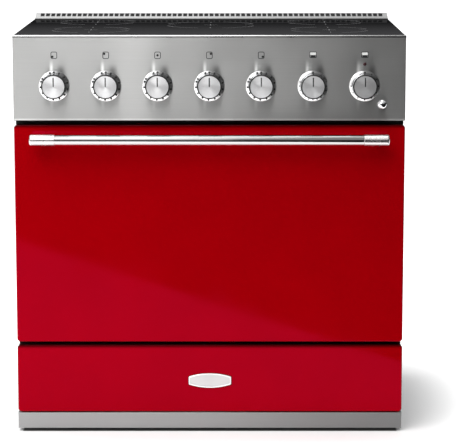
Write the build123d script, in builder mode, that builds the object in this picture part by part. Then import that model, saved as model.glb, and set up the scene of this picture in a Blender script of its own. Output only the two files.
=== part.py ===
from build123d import *
from math import atan2, cos, degrees, radians, sin, sqrt
import os

# Overall size, in millimetres. Z is up, the floor is Z = 0 and the front faces -Y.
width = 900.0
body_depth = 600.0
handle_reach = 48.0

# Heights of the front, from the floor upwards
plinth_gap = 8.0
plinth_height = 37.0
drawer_gap = 2.0
drawer_height = 160.0
door_gap = 7.5
door_height = 509.3
panel_gap = 9.5
panel_height = 191.2
glass_thickness = 4.0
vent_front_rise = 0.8
vent_back_rise = 12.5

# Sheet metal and general clearances
sheet = 1.5
frame_sheet = 2.0
side_inset = 1.0
back_recess = 3.0
flange_width = 20.0
running_clearance = 0.05
fit_clearance = 0.3

# Door and drawer skins
skin_depth = 34.5
skin_corner = 8.0
skin_edge = 3.5
seal_gap = 6.0

# Insulation and air space round the oven
insulation_thickness = 24.0
side_air = 72.0
rear_air = 71.0
deck_drop = 33.3
deck_air = 20.0
cavity_corner = 15.0
liner_flange = 12.0

# Door hinges
hinge_setback = 11.0
hinge_rise = 15.0
hinge_inset = 20.0
hinge_pin_radius = 3.0
hinge_eye_radius = 6.5
hinge_arm_width = 8.0
hinge_arm_height = 9.0
hinge_cheek = 2.5
hinge_cheek_gap = 0.5
hinge_bracket_height = 40.0
hinge_bracket_depth = 18.0
hinge_web_height = 20.0
hinge_slot_clearance = 1.5
receiver_width = 20.0
receiver_height = 16.0
receiver_depth = 27.0
receiver_air = 2.5

# Handle
handle_length = 823.0
handle_drop = 31.0
ferrule_length = 58.0
ferrule_radius = 13.0
ferrule_round = 4.0
bar_radius = 12.0
bar_wall = 1.5
post_radius = 9.0
post_inset = 26.5

# Control row
panel_edge = 3.0
knob_count = 7
knob_margin = 94.5
knob_drop = 110.5
knob_radius = 26.0
knob_skirt_height = 5.0
knob_lift = 1.0
knob_length = 29.0
knob_round = 1.5
knob_bore_depth = 20.0
knob_shaft_radius = 3.0
pointer_width = 2.0
pointer_depth = 0.6
pointer_margin = 2.0
bezel_radius = 35.0
bezel_bore = 29.0
bezel_height = 7.0
bezel_edge = 4.4
bezel_land = 0.8
skirt_clearance = 0.5
switch_size = 40.0
switch_depth = 32.0
bushing_radius = 5.0
lens_rise = 50.0
lens_radius = 4.0
lens_height = 2.5
lens_rim = 0.75
lens_stem_radius = 3.0
lens_stem_length = 14.0
button_offset = 40.5
button_drop = 42.0
button_radius = 11.5
button_dome = 8.0
button_rim = 2.0
button_lift = 3.5
button_stem_radius = 4.0
button_stem_length = 16.0
button_switch_size = 26.0
button_switch_depth = 24.0

# Plinth, base, feet and rollers
base_setback = 30.0
base_flange = 20.0
plinth_return = 40.0
plinth_lap = 20.0
foot_inset = 50.0
foot_setback = 71.0
foot_radius = 22.0
foot_disc = 8.0
foot_stem_radius = 6.0
foot_nut_radius = 10.0
foot_nut_height = 7.0
roller_inset = 70.0
roller_setback = 54.0
roller_radius = 20.0
roller_width = 20.0
axle_radius = 4.0
roller_side_gap = 1.0
bracket_sheet = 2.0
bracket_length = 36.0
bracket_floor_gap = 10.0

# Front frame
frame_post = 17.5
frame_drawer_sill = 6.0
frame_drawer_header = 7.0
frame_panel_sill = 4.7
frame_panel_header = 20.0

# Drawer box, slides and rails
drawer_rear_gap = 69.5
tray_clearance = 10.0
tray_height = 120.0
rail_standoff = 27.5
rail_depth = 15.0
rail_height = 34.0
rail_wall = 3.0
rail_lift = 52.0
rail_rear_gap = 20.0
slide_gap = 0.6
slide_side_gap = 8.5
standoff_length = 30.0
badge_length = 101.0
badge_height = 36.0
badge_end_height = 20.0
badge_corner = 2.0
badge_thickness = 2.5
badge_drop = 85.0
badge_edge = 0.8

# Oven fittings
fan_spacing = 340.0
fan_radius = 70.0
fan_depth = 24.0
fan_back_gap = 12.0
fan_hub_radius = 12.0
fan_plate = 1.5
fan_blade = 1.5
fan_blade_count = 12
fan_blade_inset = 2.0
fan_shaft_radius = 4.0
fan_chamber = 48.0
baffle_margin = 6.0
baffle_post_radius = 5.0
baffle_post_inset = 30.0
grille_slot_length = 34.0
grille_slot_width = 6.0
grille_slot_radius = 40.0
grille_slot_count = 16
motor_neck_radius = 28.0
motor_radius = 42.0
motor_length = 45.0
motor_neck_gap = 1.5
shaft_hole_gap = 2.0
ring_radius = 92.0
ring_tube_radius = 3.5
ring_wall_gap = 20.0
ring_leg_gap = 20.0
ring_leg_length = 36.0
grill_tube_radius = 4.0
grill_drop = 26.0
grill_width = 480.0
grill_depth = 250.0
grill_loops = 4
grill_bend = 14.0
grill_plate_thickness = 3.0
grill_plate_size = 28.0
lamp_drop = 60.0
lamp_radius = 23.0
lamp_flange_radius = 28.0
lamp_flange = 4.0
lamp_dome = 14.0
lamp_rim = 1.5
lamp_clearance = 0.8
rack_wire = 5.0
rack_rail_width = 9.0
rack_rail_height = 4.0
rack_first_rail = 55.0
rack_pitch = 62.0
rack_rail_count = 5
rack_front_gap = 30.0
rack_rear_gap = 20.0
rack_post_inset = 20.0
shelf_bearing = 5.0
shelf_wire = 5.0
shelf_bar_width = 4.0
shelf_bar_pitch = 24.0
lower_shelf_index = 1
upper_shelf_index = 3
shelf_front_gap = 40.0
shelf_rear_gap = 30.0
seal_width = 12.0
seal_offset = 8.0
seal_play = 0.5
field_margin = 12.0
field_height = 4.0
door_wool_corner = 10.0
door_wool_inset = 22.0
door_wool_rise = 56.0
door_wool_play = 3.0

# Hob, coils and electronics
glass_side_gap = 2.0
glass_front_gap = 0.5
glass_corner = 4.0
glass_edge = 0.8
lip_depth = 3.5
lip_round = 3.0
trim_border = 25.0
trim_front_border = 31.0
vent_depth = 40.0
vent_gap = 0.5
slot_pitch = 13.45
slot_width = 10.0
slot_corner = 1.5
slot_margin = 9.5
slot_setback = 5.0
slot_end_margin = 9.0
exhaust_margin = 8.0
zone_x = 281.0
zone_front_setback = 171.0
zone_rear_setback = 437.0
zone_centre_setback = 336.0
coil_radius = 88.0
coil_centre_radius = 102.0
coil_bore_radius = 20.0
coil_gap = 3.5
coil_height = 15.0
coil_base = 4.0
coil_base_margin = 6.0
module_length = 230.0
module_depth = 200.0
module_height = 30.0
module_spacing = 480.0
module_setback = 250.0
fin_count = 9
fin_width = 4.0
fin_height = 26.0
blower_size = 120.0
blower_depth = 38.0
blower_radius = 56.0
blower_setback = 470.0
blower_hub_radius = 20.0
blower_mount = 6.0
blower_strut = 6.0
blower_strut_count = 3
blower_shaft_radius = 2.5
blower_blade_count = 7
blower_chord = 24.0
blower_pitch = 35.0
blower_blade = 2.0
blower_blade_gap = 3.0
blower_tip_gap = 2.0

# Back panel, terminal box and screws
terminal_width = 110.0
terminal_height = 80.0
terminal_depth = 55.0
terminal_wall = 2.5
terminal_inset = 105.0
terminal_rise = 170.0
inlet_radius = 11.0
inlet_wall = 4.0
inlet_length = 12.0
louvre_length = 70.0
louvre_width = 7.0
louvre_pitch = 20.0
louvre_count = 5
louvre_columns = 6
louvre_column_pitch = 110.0
louvre_drop = 120.0
bracket_hole_radius = 3.2
bracket_hole_spacing = 80.0
bracket_hole_rise = 120.0
screw_radius = 2.0
screw_head_radius = 4.5
screw_head = 2.0
screw_length = 6.0
screw_edge = 10.0
screw_rows = 6
screw_margin = 60.0
door_screw_columns = 5
door_screw_edge = 22.0

# Depths worked out from the sizes above
front_y = (handle_reach - body_depth) / 2
back_y = (handle_reach + body_depth) / 2
skin_back_y = front_y + skin_depth
door_back_y = skin_back_y + sheet
frame_y = door_back_y + seal_gap
frame_back_y = frame_y + frame_sheet
rear_outer_y = back_y - back_recess
rear_inner_y = rear_outer_y - sheet
flange_y = rear_inner_y - sheet
handle_y = front_y - handle_reach + ferrule_radius
side_outer_x = width / 2 - side_inset
side_inner_x = side_outer_x - sheet

# Heights worked out from the sizes above
base_z = plinth_gap + plinth_height
base_top_z = base_z + sheet
drawer_bottom_z = base_z + drawer_gap
drawer_top_z = drawer_bottom_z + drawer_height
door_bottom_z = drawer_top_z + door_gap
door_top_z = door_bottom_z + door_height
door_mid_z = (door_bottom_z + door_top_z) / 2
panel_bottom_z = door_top_z + panel_gap
panel_top_z = panel_bottom_z + panel_height
panel_mid_z = (panel_bottom_z + panel_top_z) / 2
glass_bottom_z = panel_top_z + sheet
glass_top_z = glass_bottom_z + glass_thickness
coil_bottom_z = glass_bottom_z - coil_gap - coil_height
tray_z = coil_bottom_z - sheet
hinge_y = front_y + hinge_setback
hinge_z = door_bottom_z + hinge_rise
deck_z = door_top_z - deck_drop
deck_top_z = deck_z + sheet

# Oven cavity, what the air space and the insulation leave
cavity_half = side_inner_x - side_air - insulation_thickness - sheet
cavity_bottom_z = hinge_z + receiver_height / 2 + receiver_air + insulation_thickness + sheet
cavity_top_z = deck_z - deck_air - insulation_thickness - sheet
cavity_back_y = rear_inner_y - rear_air - insulation_thickness - sheet
cavity_width = 2 * cavity_half
cavity_height = cavity_top_z - cavity_bottom_z
cavity_mid_z = (cavity_top_z + cavity_bottom_z) / 2
baffle_y = cavity_back_y - fan_chamber
liner_back_y = cavity_back_y + sheet
wool_back_y = liner_back_y + insulation_thickness
hinge_x = cavity_half - hinge_inset
fan_x = fan_spacing / 2
fan_centres = [(-fan_x, cavity_mid_z), (fan_x, cavity_mid_z)]

# Control positions on the panel
knob_z = panel_top_z - knob_drop
knob_pitch = (width - 2 * knob_margin) / (knob_count - 1)
knob_xs = [knob_margin - width / 2 + knob_pitch * i for i in range(knob_count)]
knob_points = [(x, knob_z) for x in knob_xs]
lens_point = (knob_xs[-1], knob_z + lens_rise)
button_point = (knob_xs[-1] + button_offset, knob_z - button_drop)


def facing(y):
    """Upright plane at depth y as seen from the front: local x is X and local y is Z."""
    return Plane.XZ.offset(-y)


def across(x):
    """Upright plane at width x as seen from the right: local x is Y and local y is Z."""
    return Plane.YZ.offset(x)


def finish(piece, name):
    """Label a finished piece and write its file."""
    piece.part.label = name
    export_step(piece.part, f"parts/{name}.step")


def skin(bottom_z, top_z, slot_xs=()):
    """Enamelled pan with rounded front edges, open at its back, slotted underneath for hinge arms."""
    with BuildPart() as pan:
        with BuildSketch(facing(front_y)):
            with Locations((0, (bottom_z + top_z) / 2)):
                RectangleRounded(width, top_z - bottom_z, skin_corner)
        extrude(amount=-skin_depth)
        fillet(pan.faces().sort_by(Axis.Y)[0].edges(), skin_edge)
        offset(amount=-sheet, openings=pan.faces().sort_by(Axis.Y)[-1])
        for slot_x in slot_xs:
            with BuildSketch(Plane.XY.offset(bottom_z)):
                with Locations((slot_x, (hinge_slot_y + skin_back_y) / 2)):
                    Rectangle(hinge_slot_width, skin_back_y - hinge_slot_y)
            extrude(amount=sheet, mode=Mode.SUBTRACT)
    return pan


os.makedirs("parts", exist_ok=True)

# Base pan: a floor with turned-up sides
base_front_y = front_y + base_setback
with BuildPart() as base_pan:
    with BuildSketch(Plane.XY.offset(base_z)):
        with Locations((0, (base_front_y + flange_y) / 2)):
            Rectangle(2 * side_inner_x, flange_y - base_front_y)
    extrude(amount=sheet)
    flange_x = side_inner_x - sheet / 2
    flange_mid_y = (frame_back_y + flange_y) / 2
    with BuildSketch(Plane.XY.offset(base_top_z)):
        with Locations((-flange_x, flange_mid_y), (flange_x, flange_mid_y)):
            Rectangle(sheet, flange_y - frame_back_y)
    extrude(amount=base_flange)
finish(base_pan, "base_pan")

# Screw places shared by the back panel and the flanges behind it
screw_x = side_inner_x - screw_edge
screw_mid_z = (base_z + panel_top_z) / 2
screw_pitch = (panel_top_z - base_z - 2 * screw_margin) / (screw_rows - 1)
screw_hole_radius = screw_radius + fit_clearance

# Side panels: a sheet with a flange turned in at the back
for side, side_name in ((-1, "side_panel_left"), (1, "side_panel_right")):
    with BuildPart() as side_panel:
        with BuildSketch(Plane.XY.offset(base_z)):
            with Locations((side * (side_outer_x - sheet / 2), (frame_y + back_y) / 2)):
                Rectangle(sheet, back_y - frame_y)
            with Locations((side * (side_inner_x - flange_width / 2), flange_y + sheet / 2)):
                Rectangle(flange_width, sheet)
        extrude(amount=panel_top_z - base_z)
        with BuildSketch(facing(flange_y)):
            with Locations((side * screw_x, screw_mid_z)):
                with GridLocations(0, screw_pitch, 1, screw_rows):
                    Circle(screw_hole_radius)
        extrude(amount=-sheet, mode=Mode.SUBTRACT)
    finish(side_panel, side_name)

# Back panel with louvres, the cable inlet hole and the stability bracket holes
inlet_x = -side_inner_x + terminal_inset
inlet_z = base_z + terminal_rise
inlet_outer_radius = inlet_radius + inlet_wall
louvre_mid_z = panel_top_z - louvre_drop
with BuildPart() as back_panel:
    with BuildSketch(facing(rear_inner_y)):
        with Locations((0, screw_mid_z)):
            Rectangle(2 * side_inner_x, panel_top_z - base_z)
            with GridLocations(2 * screw_x, screw_pitch, 2, screw_rows):
                Circle(screw_hole_radius, mode=Mode.SUBTRACT)
        with Locations((0, louvre_mid_z)):
            with GridLocations(louvre_column_pitch, louvre_pitch, louvre_columns, louvre_count):
                SlotOverall(louvre_length, louvre_width, mode=Mode.SUBTRACT)
        with Locations((inlet_x, inlet_z)):
            Circle(inlet_outer_radius + fit_clearance, mode=Mode.SUBTRACT)
        with Locations((0, bracket_hole_rise)):
            with GridLocations(bracket_hole_spacing, 0, 2, 1):
                Circle(bracket_hole_radius, mode=Mode.SUBTRACT)
    extrude(amount=-sheet)
finish(back_panel, "back_panel")

with BuildPart() as back_screws:
    with BuildSketch(facing(rear_outer_y)):
        with Locations((0, screw_mid_z)):
            with GridLocations(2 * screw_x, screw_pitch, 2, screw_rows):
                Circle(screw_head_radius)
    extrude(amount=-screw_head)
    with BuildSketch(facing(rear_outer_y)):
        with Locations((0, screw_mid_z)):
            with GridLocations(2 * screw_x, screw_pitch, 2, screw_rows):
                Circle(screw_radius)
    extrude(amount=screw_length)
finish(back_screws, "back_screws")

# Front frame: one plate with the drawer opening, the oven mouth and the opening behind the panel
opening_half = side_inner_x - frame_post
drawer_open_low = base_top_z + frame_drawer_sill
drawer_open_high = drawer_top_z - frame_drawer_header
panel_open_low = panel_bottom_z + frame_panel_sill
panel_open_high = tray_z - frame_panel_header
arm_slot_width = hinge_arm_width + 2 * fit_clearance
arm_slot_height = hinge_arm_height + 2 * fit_clearance
with BuildPart() as front_frame:
    with BuildSketch(facing(frame_y)):
        with Locations((0, (base_top_z + tray_z) / 2)):
            Rectangle(2 * side_inner_x, tray_z - base_top_z)
        with Locations((0, (drawer_open_low + drawer_open_high) / 2)):
            Rectangle(2 * opening_half, drawer_open_high - drawer_open_low, mode=Mode.SUBTRACT)
        with Locations((0, cavity_mid_z)):
            RectangleRounded(cavity_width, cavity_height, cavity_corner, mode=Mode.SUBTRACT)
        with Locations((0, (panel_open_low + panel_open_high) / 2)):
            Rectangle(2 * opening_half, panel_open_high - panel_open_low, mode=Mode.SUBTRACT)
        with Locations((-hinge_x, hinge_z), (hinge_x, hinge_z)):
            Rectangle(arm_slot_width, arm_slot_height, mode=Mode.SUBTRACT)
    extrude(amount=-frame_sheet)
finish(front_frame, "front_frame")

# Hinge receivers: a block behind the frame with an arm and an eye for the door's pin
with BuildPart() as hinge_receivers:
    with BuildSketch(facing(frame_back_y)):
        with Locations((-hinge_x, hinge_z), (hinge_x, hinge_z)):
            Rectangle(receiver_width, receiver_height)
    extrude(amount=-receiver_depth)
    for side in (-1, 1):
        with BuildSketch(across(side * hinge_x)):
            with Locations(((hinge_y + frame_back_y) / 2, hinge_z)):
                Rectangle(frame_back_y - hinge_y, hinge_arm_height)
            with Locations((hinge_y, hinge_z)):
                Circle(hinge_eye_radius)
                Circle(hinge_pin_radius + running_clearance, mode=Mode.SUBTRACT)
        extrude(amount=hinge_arm_width / 2, both=True)
finish(hinge_receivers, "hinge_receivers")

# Top deck between the oven and the electronics
with BuildPart() as top_deck:
    with BuildSketch(Plane.XY.offset(deck_z)):
        with Locations((0, (frame_back_y + flange_y) / 2)):
            Rectangle(2 * side_inner_x, flange_y - frame_back_y)
    extrude(amount=sheet)
finish(top_deck, "top_deck")

# Oven liner: an enamelled box with a front flange and holes for the shafts and element legs
leg_points = [(x + side * ring_leg_gap / 2, z + ring_radius) for x, z in fan_centres for side in (-1, 1)]
with BuildPart() as oven_liner:
    with BuildSketch(facing(frame_back_y)):
        with Locations((0, cavity_mid_z)):
            RectangleRounded(
                cavity_width + 2 * liner_flange,
                cavity_height + 2 * liner_flange,
                cavity_corner + liner_flange,
            )
    extrude(amount=-sheet)
    with BuildSketch(facing(frame_back_y)):
        with Locations((0, cavity_mid_z)):
            RectangleRounded(cavity_width + 2 * sheet, cavity_height + 2 * sheet, cavity_corner + sheet)
    extrude(amount=-(liner_back_y - frame_back_y))
    with BuildSketch(facing(frame_back_y)):
        with Locations((0, cavity_mid_z)):
            RectangleRounded(cavity_width, cavity_height, cavity_corner)
    extrude(amount=-(cavity_back_y - frame_back_y), mode=Mode.SUBTRACT)
    with BuildSketch(facing(cavity_back_y)):
        with Locations(*fan_centres):
            Circle(fan_shaft_radius + shaft_hole_gap)
        with Locations(*leg_points):
            Circle(ring_tube_radius + fit_clearance)
    extrude(amount=-sheet, mode=Mode.SUBTRACT)
finish(oven_liner, "oven_liner")

# Insulation wrapped round the liner, with holes for the motor necks and element legs
wool_front_y = frame_back_y + sheet + fit_clearance
wool_inner = sheet + fit_clearance
with BuildPart() as oven_insulation:
    with BuildSketch(facing(wool_front_y)):
        with Locations((0, cavity_mid_z)):
            RectangleRounded(
                cavity_width + 2 * (sheet + insulation_thickness),
                cavity_height + 2 * (sheet + insulation_thickness),
                cavity_corner + insulation_thickness,
            )
    extrude(amount=-(wool_back_y - wool_front_y))
    with BuildSketch(facing(wool_front_y)):
        with Locations((0, cavity_mid_z)):
            RectangleRounded(
                cavity_width + 2 * wool_inner,
                cavity_height + 2 * wool_inner,
                cavity_corner + wool_inner,
            )
    extrude(amount=-(liner_back_y + fit_clearance - wool_front_y), mode=Mode.SUBTRACT)
    with BuildSketch(facing(liner_back_y)):
        with Locations(*fan_centres):
            Circle(motor_neck_radius + fit_clearance)
        with Locations(*leg_points):
            Circle(ring_tube_radius + fit_clearance)
    extrude(amount=-(wool_back_y - liner_back_y), mode=Mode.SUBTRACT)
finish(oven_insulation, "oven_insulation")

# Fan motors: a neck against the liner, the motor behind it and the shaft through to the fan
fan_back_y = cavity_back_y - fan_back_gap
fan_front_y = fan_back_y - fan_depth
motor_y = wool_back_y + motor_neck_gap
with BuildPart() as fan_motors:
    with BuildSketch(facing(liner_back_y)):
        with Locations(*fan_centres):
            Circle(motor_neck_radius)
    extrude(amount=-(motor_y - liner_back_y))
    with BuildSketch(facing(motor_y)):
        with Locations(*fan_centres):
            Circle(motor_radius)
    extrude(amount=-motor_length)
    with BuildSketch(facing(liner_back_y)):
        with Locations(*fan_centres):
            Circle(fan_shaft_radius)
    extrude(amount=liner_back_y - fan_front_y)
finish(fan_motors, "fan_motors")

# Oven fans: a hub on the motor shaft, a back plate and straight blades
fan_blade_root = fan_hub_radius - fan_blade_inset
fan_blade_tip = fan_radius - fan_blade_inset
for (fan_cx, fan_cz), fan_name in zip(fan_centres, ("oven_fan_left", "oven_fan_right")):
    with BuildPart() as oven_fan:
        with BuildSketch(facing(fan_front_y)):
            with Locations((fan_cx, fan_cz)):
                Circle(fan_hub_radius)
                with PolarLocations((fan_blade_root + fan_blade_tip) / 2, fan_blade_count):
                    Rectangle(fan_blade_tip - fan_blade_root, fan_blade)
        extrude(amount=-fan_depth)
        with BuildSketch(facing(fan_back_y - fan_plate)):
            with Locations((fan_cx, fan_cz)):
                Circle(fan_radius)
        extrude(amount=-fan_plate)
        with BuildSketch(facing(fan_front_y)):
            with Locations((fan_cx, fan_cz)):
                Circle(fan_shaft_radius + running_clearance)
        extrude(amount=-fan_depth, mode=Mode.SUBTRACT)
    finish(oven_fan, fan_name)

# Ring elements round the fans, with two legs through the back wall
ring_y = cavity_back_y - ring_wall_gap
with BuildPart() as ring_elements:
    for fan_cx, fan_cz in fan_centres:
        with Locations(Location((fan_cx, ring_y, fan_cz), (90, 0, 0))):
            Torus(ring_radius, ring_tube_radius)
    with BuildSketch(facing(ring_y)):
        with Locations(*leg_points):
            Circle(ring_tube_radius)
    extrude(amount=-ring_leg_length)
finish(ring_elements, "ring_elements")

# Fan baffle: a plate on four posts, with a round grille in front of each fan and a lamp hole
lamp_z = cavity_top_z - lamp_drop
baffle_width = cavity_width - 2 * baffle_margin
baffle_height = cavity_height - 2 * baffle_margin
with BuildPart() as fan_baffle:
    with BuildSketch(facing(baffle_y)):
        with Locations((0, cavity_mid_z)):
            RectangleRounded(baffle_width, baffle_height, cavity_corner)
        for fan_cx, fan_cz in fan_centres:
            with Locations((fan_cx, fan_cz)):
                with PolarLocations(grille_slot_radius, grille_slot_count):
                    SlotOverall(grille_slot_length, grille_slot_width, mode=Mode.SUBTRACT)
        with Locations((0, lamp_z)):
            Circle(lamp_radius + lamp_clearance, mode=Mode.SUBTRACT)
    extrude(amount=-sheet)
    with BuildSketch(facing(baffle_y + sheet)):
        with Locations((0, cavity_mid_z)):
            with GridLocations(
                baffle_width - 2 * baffle_post_inset, baffle_height - 2 * baffle_post_inset, 2, 2
            ):
                Circle(baffle_post_radius)
    extrude(amount=-(cavity_back_y - baffle_y - sheet))
finish(fan_baffle, "fan_baffle")

# Oven lamp: a holder on the back wall with a flanged glass dome in front of the baffle
with BuildPart() as oven_lamp:
    with BuildSketch(facing(baffle_y)):
        with Locations((0, lamp_z)):
            Circle(lamp_radius)
    extrude(amount=-(cavity_back_y - baffle_y))
    with BuildSketch(facing(baffle_y)):
        with Locations((0, lamp_z)):
            Circle(lamp_flange_radius)
    extrude(amount=lamp_flange)
    with BuildSketch(facing(baffle_y - lamp_flange)):
        with Locations((0, lamp_z)):
            Circle(lamp_radius)
    extrude(amount=lamp_dome)
    fillet(oven_lamp.faces().sort_by(Axis.Y)[0].edges(), lamp_dome - lamp_rim)
finish(oven_lamp, "oven_lamp")

# Grill element: a hairpin tube under the roof, held by a plate on the baffle at each end
grill_z = cavity_top_z - grill_drop
grill_pitch = grill_width / (2 * grill_loops - 1)
grill_back_y = baffle_y - grill_plate_thickness
grill_turn_y = grill_back_y - 2 * grill_bend
grill_front_y = grill_back_y - grill_depth
grill_route = [(-grill_width / 2, grill_back_y)]
for leg in range(2 * grill_loops - 1):
    turn_y = grill_front_y if leg % 2 == 0 else grill_turn_y
    leg_x = -grill_width / 2 + grill_pitch * leg
    grill_route += [(leg_x, turn_y), (leg_x + grill_pitch, turn_y)]
grill_route += [(grill_width / 2, grill_back_y)]
with BuildPart() as grill_element:
    with BuildLine(Plane.XY.offset(grill_z)) as grill_path:
        FilletPolyline(*grill_route, radius=grill_bend)
    with BuildSketch(Plane(origin=grill_path.line @ 0, z_dir=grill_path.line % 0)):
        Circle(grill_tube_radius)
    sweep()
    with BuildSketch(facing(grill_back_y)):
        with Locations((-grill_width / 2, grill_z), (grill_width / 2, grill_z)):
            Rectangle(grill_plate_size, grill_plate_size)
    extrude(amount=-grill_plate_thickness)
finish(grill_element, "grill_element")

# Shelf racks: two posts against each side wall carrying the rails
rack_front_y = frame_back_y + rack_front_gap
rack_back_y = baffle_y - rack_rear_gap
rack_mid_y = (rack_front_y + rack_back_y) / 2
rail_outer_x = cavity_half - rack_wire
rail_levels = [cavity_bottom_z + rack_first_rail + rack_pitch * i for i in range(rack_rail_count)]
rack_top_z = rail_levels[-1] + rack_rail_height
with BuildPart() as shelf_racks:
    for side in (-1, 1):
        for post_y in (rack_front_y + rack_post_inset, rack_back_y - rack_post_inset):
            with BuildSketch(Plane.XY.offset(cavity_bottom_z + rack_first_rail - rack_wire)):
                with Locations((side * (cavity_half - rack_wire / 2), post_y)):
                    Rectangle(rack_wire, rack_wire)
            extrude(amount=rack_top_z - cavity_bottom_z - rack_first_rail + rack_wire)
        for level_z in rail_levels:
            with BuildSketch(Plane.XY.offset(level_z)):
                with Locations((side * (rail_outer_x - rack_rail_width / 2), rack_mid_y)):
                    Rectangle(rack_rail_width, rack_back_y - rack_front_y)
            extrude(amount=rack_rail_height)
finish(shelf_racks, "shelf_racks")

# Wire shelves resting on the rails
shelf_half = rail_outer_x - rack_rail_width + shelf_bearing
shelf_front_y = frame_back_y + shelf_front_gap
shelf_back_y = baffle_y - shelf_rear_gap
shelf_depth = shelf_back_y - shelf_front_y
shelf_bars = int(2 * (shelf_half - shelf_wire) / shelf_bar_pitch)
shelf_levels = {"oven_shelf_lower": lower_shelf_index, "oven_shelf_upper": upper_shelf_index}
for shelf_name, level in shelf_levels.items():
    with BuildPart() as oven_shelf:
        with BuildSketch(Plane.XY.offset(rail_levels[level] + rack_rail_height)):
            with Locations((0, (shelf_front_y + shelf_back_y) / 2)):
                Rectangle(2 * shelf_half, shelf_depth)
                Rectangle(2 * (shelf_half - shelf_wire), shelf_depth - 2 * shelf_wire, mode=Mode.SUBTRACT)
                with GridLocations(shelf_bar_pitch, 0, shelf_bars, 1):
                    Rectangle(shelf_bar_width, shelf_depth)
        extrude(amount=shelf_wire)
    finish(oven_shelf, shelf_name)

# Door seal round the oven mouth
seal_half = cavity_half + seal_offset
seal_half_height = cavity_height / 2 + seal_offset
with BuildPart() as door_seal:
    with BuildSketch(facing(frame_y)):
        with Locations((0, cavity_mid_z)):
            RectangleRounded(
                2 * (seal_half + seal_width),
                2 * (seal_half_height + seal_width),
                cavity_corner + seal_width,
            )
            RectangleRounded(2 * seal_half, 2 * seal_half_height, cavity_corner, mode=Mode.SUBTRACT)
    extrude(amount=seal_gap - seal_play)
finish(door_seal, "door_seal")

# Door skin, with slots in its lower edge for the hinge arms
hinge_slot_width = hinge_arm_width + 2 * hinge_slot_clearance
hinge_slot_y = hinge_y - hinge_arm_height / 2 - hinge_slot_clearance
door_skin = skin(door_bottom_z, door_top_z, slot_xs=(-hinge_x, hinge_x))
finish(door_skin, "door_skin")

# Door screws and the holes for them, along the top and down the sides of the inner panel
door_screw_x = width / 2 - door_screw_edge
door_screw_z = door_top_z - door_screw_edge
door_screw_step = 2 * door_screw_x / (door_screw_columns - 1)
door_screw_points = [
    (-door_screw_x + door_screw_step * i, door_screw_z) for i in range(door_screw_columns)
]
door_screw_points += [
    (side * door_screw_x, z) for side in (-1, 1) for z in (cavity_bottom_z, cavity_mid_z)
]

# Door inner panel with a raised field that faces the oven mouth
with BuildPart() as door_liner:
    with BuildSketch(facing(skin_back_y)):
        with Locations((0, door_mid_z)):
            RectangleRounded(width - 2 * sheet, door_height - 2 * sheet, skin_corner - sheet)
        slot_top_z = hinge_z + hinge_arm_height / 2 + hinge_slot_clearance
        with Locations(*[(side * hinge_x, (door_bottom_z + slot_top_z) / 2) for side in (-1, 1)]):
            Rectangle(hinge_slot_width, slot_top_z - door_bottom_z, mode=Mode.SUBTRACT)
        with Locations(*door_screw_points):
            Circle(screw_hole_radius, mode=Mode.SUBTRACT)
    extrude(amount=-sheet)
    with BuildSketch(facing(door_back_y)):
        with Locations((0, cavity_mid_z)):
            RectangleRounded(
                cavity_width - 2 * field_margin,
                cavity_height - 2 * field_margin,
                cavity_corner,
            )
    extrude(amount=-field_height)
    fillet(door_liner.faces().sort_by(Axis.Y)[-1].edges(), field_height / 2)
finish(door_liner, "door_liner")

with BuildPart() as door_screws:
    with BuildSketch(facing(door_back_y)):
        with Locations(*door_screw_points):
            Circle(screw_head_radius)
    extrude(amount=-screw_head)
    with BuildSketch(facing(door_back_y)):
        with Locations(*door_screw_points):
            Circle(screw_radius)
    extrude(amount=screw_length)
finish(door_screws, "door_screws")

# Insulation inside the door, clear of the hinges and the screws
wool_half = door_screw_x - door_wool_inset
wool_low_z = door_bottom_z + door_wool_rise
wool_high_z = door_screw_z - door_wool_inset
with BuildPart() as door_insulation:
    with BuildSketch(facing(front_y + sheet)):
        with Locations((0, (wool_low_z + wool_high_z) / 2)):
            RectangleRounded(2 * wool_half, wool_high_z - wool_low_z, door_wool_corner)
    extrude(amount=-(skin_depth - sheet - door_wool_play))
finish(door_insulation, "door_insulation")

# Door hinge brackets: two cheeks and a web on the skin, with the pin through the receiver's eye
cheek_inner = hinge_arm_width / 2 + hinge_cheek_gap
cheek_mid = cheek_inner + hinge_cheek / 2
bracket_y = front_y + sheet
bracket_low_z = hinge_z - hinge_eye_radius
bracket_high_z = bracket_low_z + hinge_bracket_height
with BuildPart() as door_hinges:
    for side in (-1, 1):
        for cheek_side in (-1, 1):
            with BuildSketch(across(side * hinge_x + cheek_side * cheek_mid)):
                with Locations((bracket_y + hinge_bracket_depth / 2, (bracket_low_z + bracket_high_z) / 2)):
                    Rectangle(hinge_bracket_depth, hinge_bracket_height)
            extrude(amount=hinge_cheek / 2, both=True)
        with BuildSketch(across(side * hinge_x)):
            with Locations((bracket_y + hinge_cheek / 2, bracket_high_z - hinge_web_height / 2)):
                Rectangle(hinge_cheek, hinge_web_height)
        extrude(amount=cheek_mid, both=True)
        with BuildSketch(across(side * hinge_x)):
            with Locations((hinge_y, hinge_z)):
                Circle(hinge_pin_radius)
        extrude(amount=cheek_mid, both=True)
finish(door_hinges, "door_hinges")

# Handle: a tube between two polished ends, each on a post from the door
handle_z = door_top_z - handle_drop
bar_half = handle_length / 2 - ferrule_length
post_x = handle_length / 2 - post_inset
with BuildPart() as handle_bar:
    with BuildSketch(across(0)):
        with Locations((handle_y, handle_z)):
            Circle(bar_radius)
            Circle(bar_radius - bar_wall, mode=Mode.SUBTRACT)
    extrude(amount=bar_half, both=True)
finish(handle_bar, "handle_bar")

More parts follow.
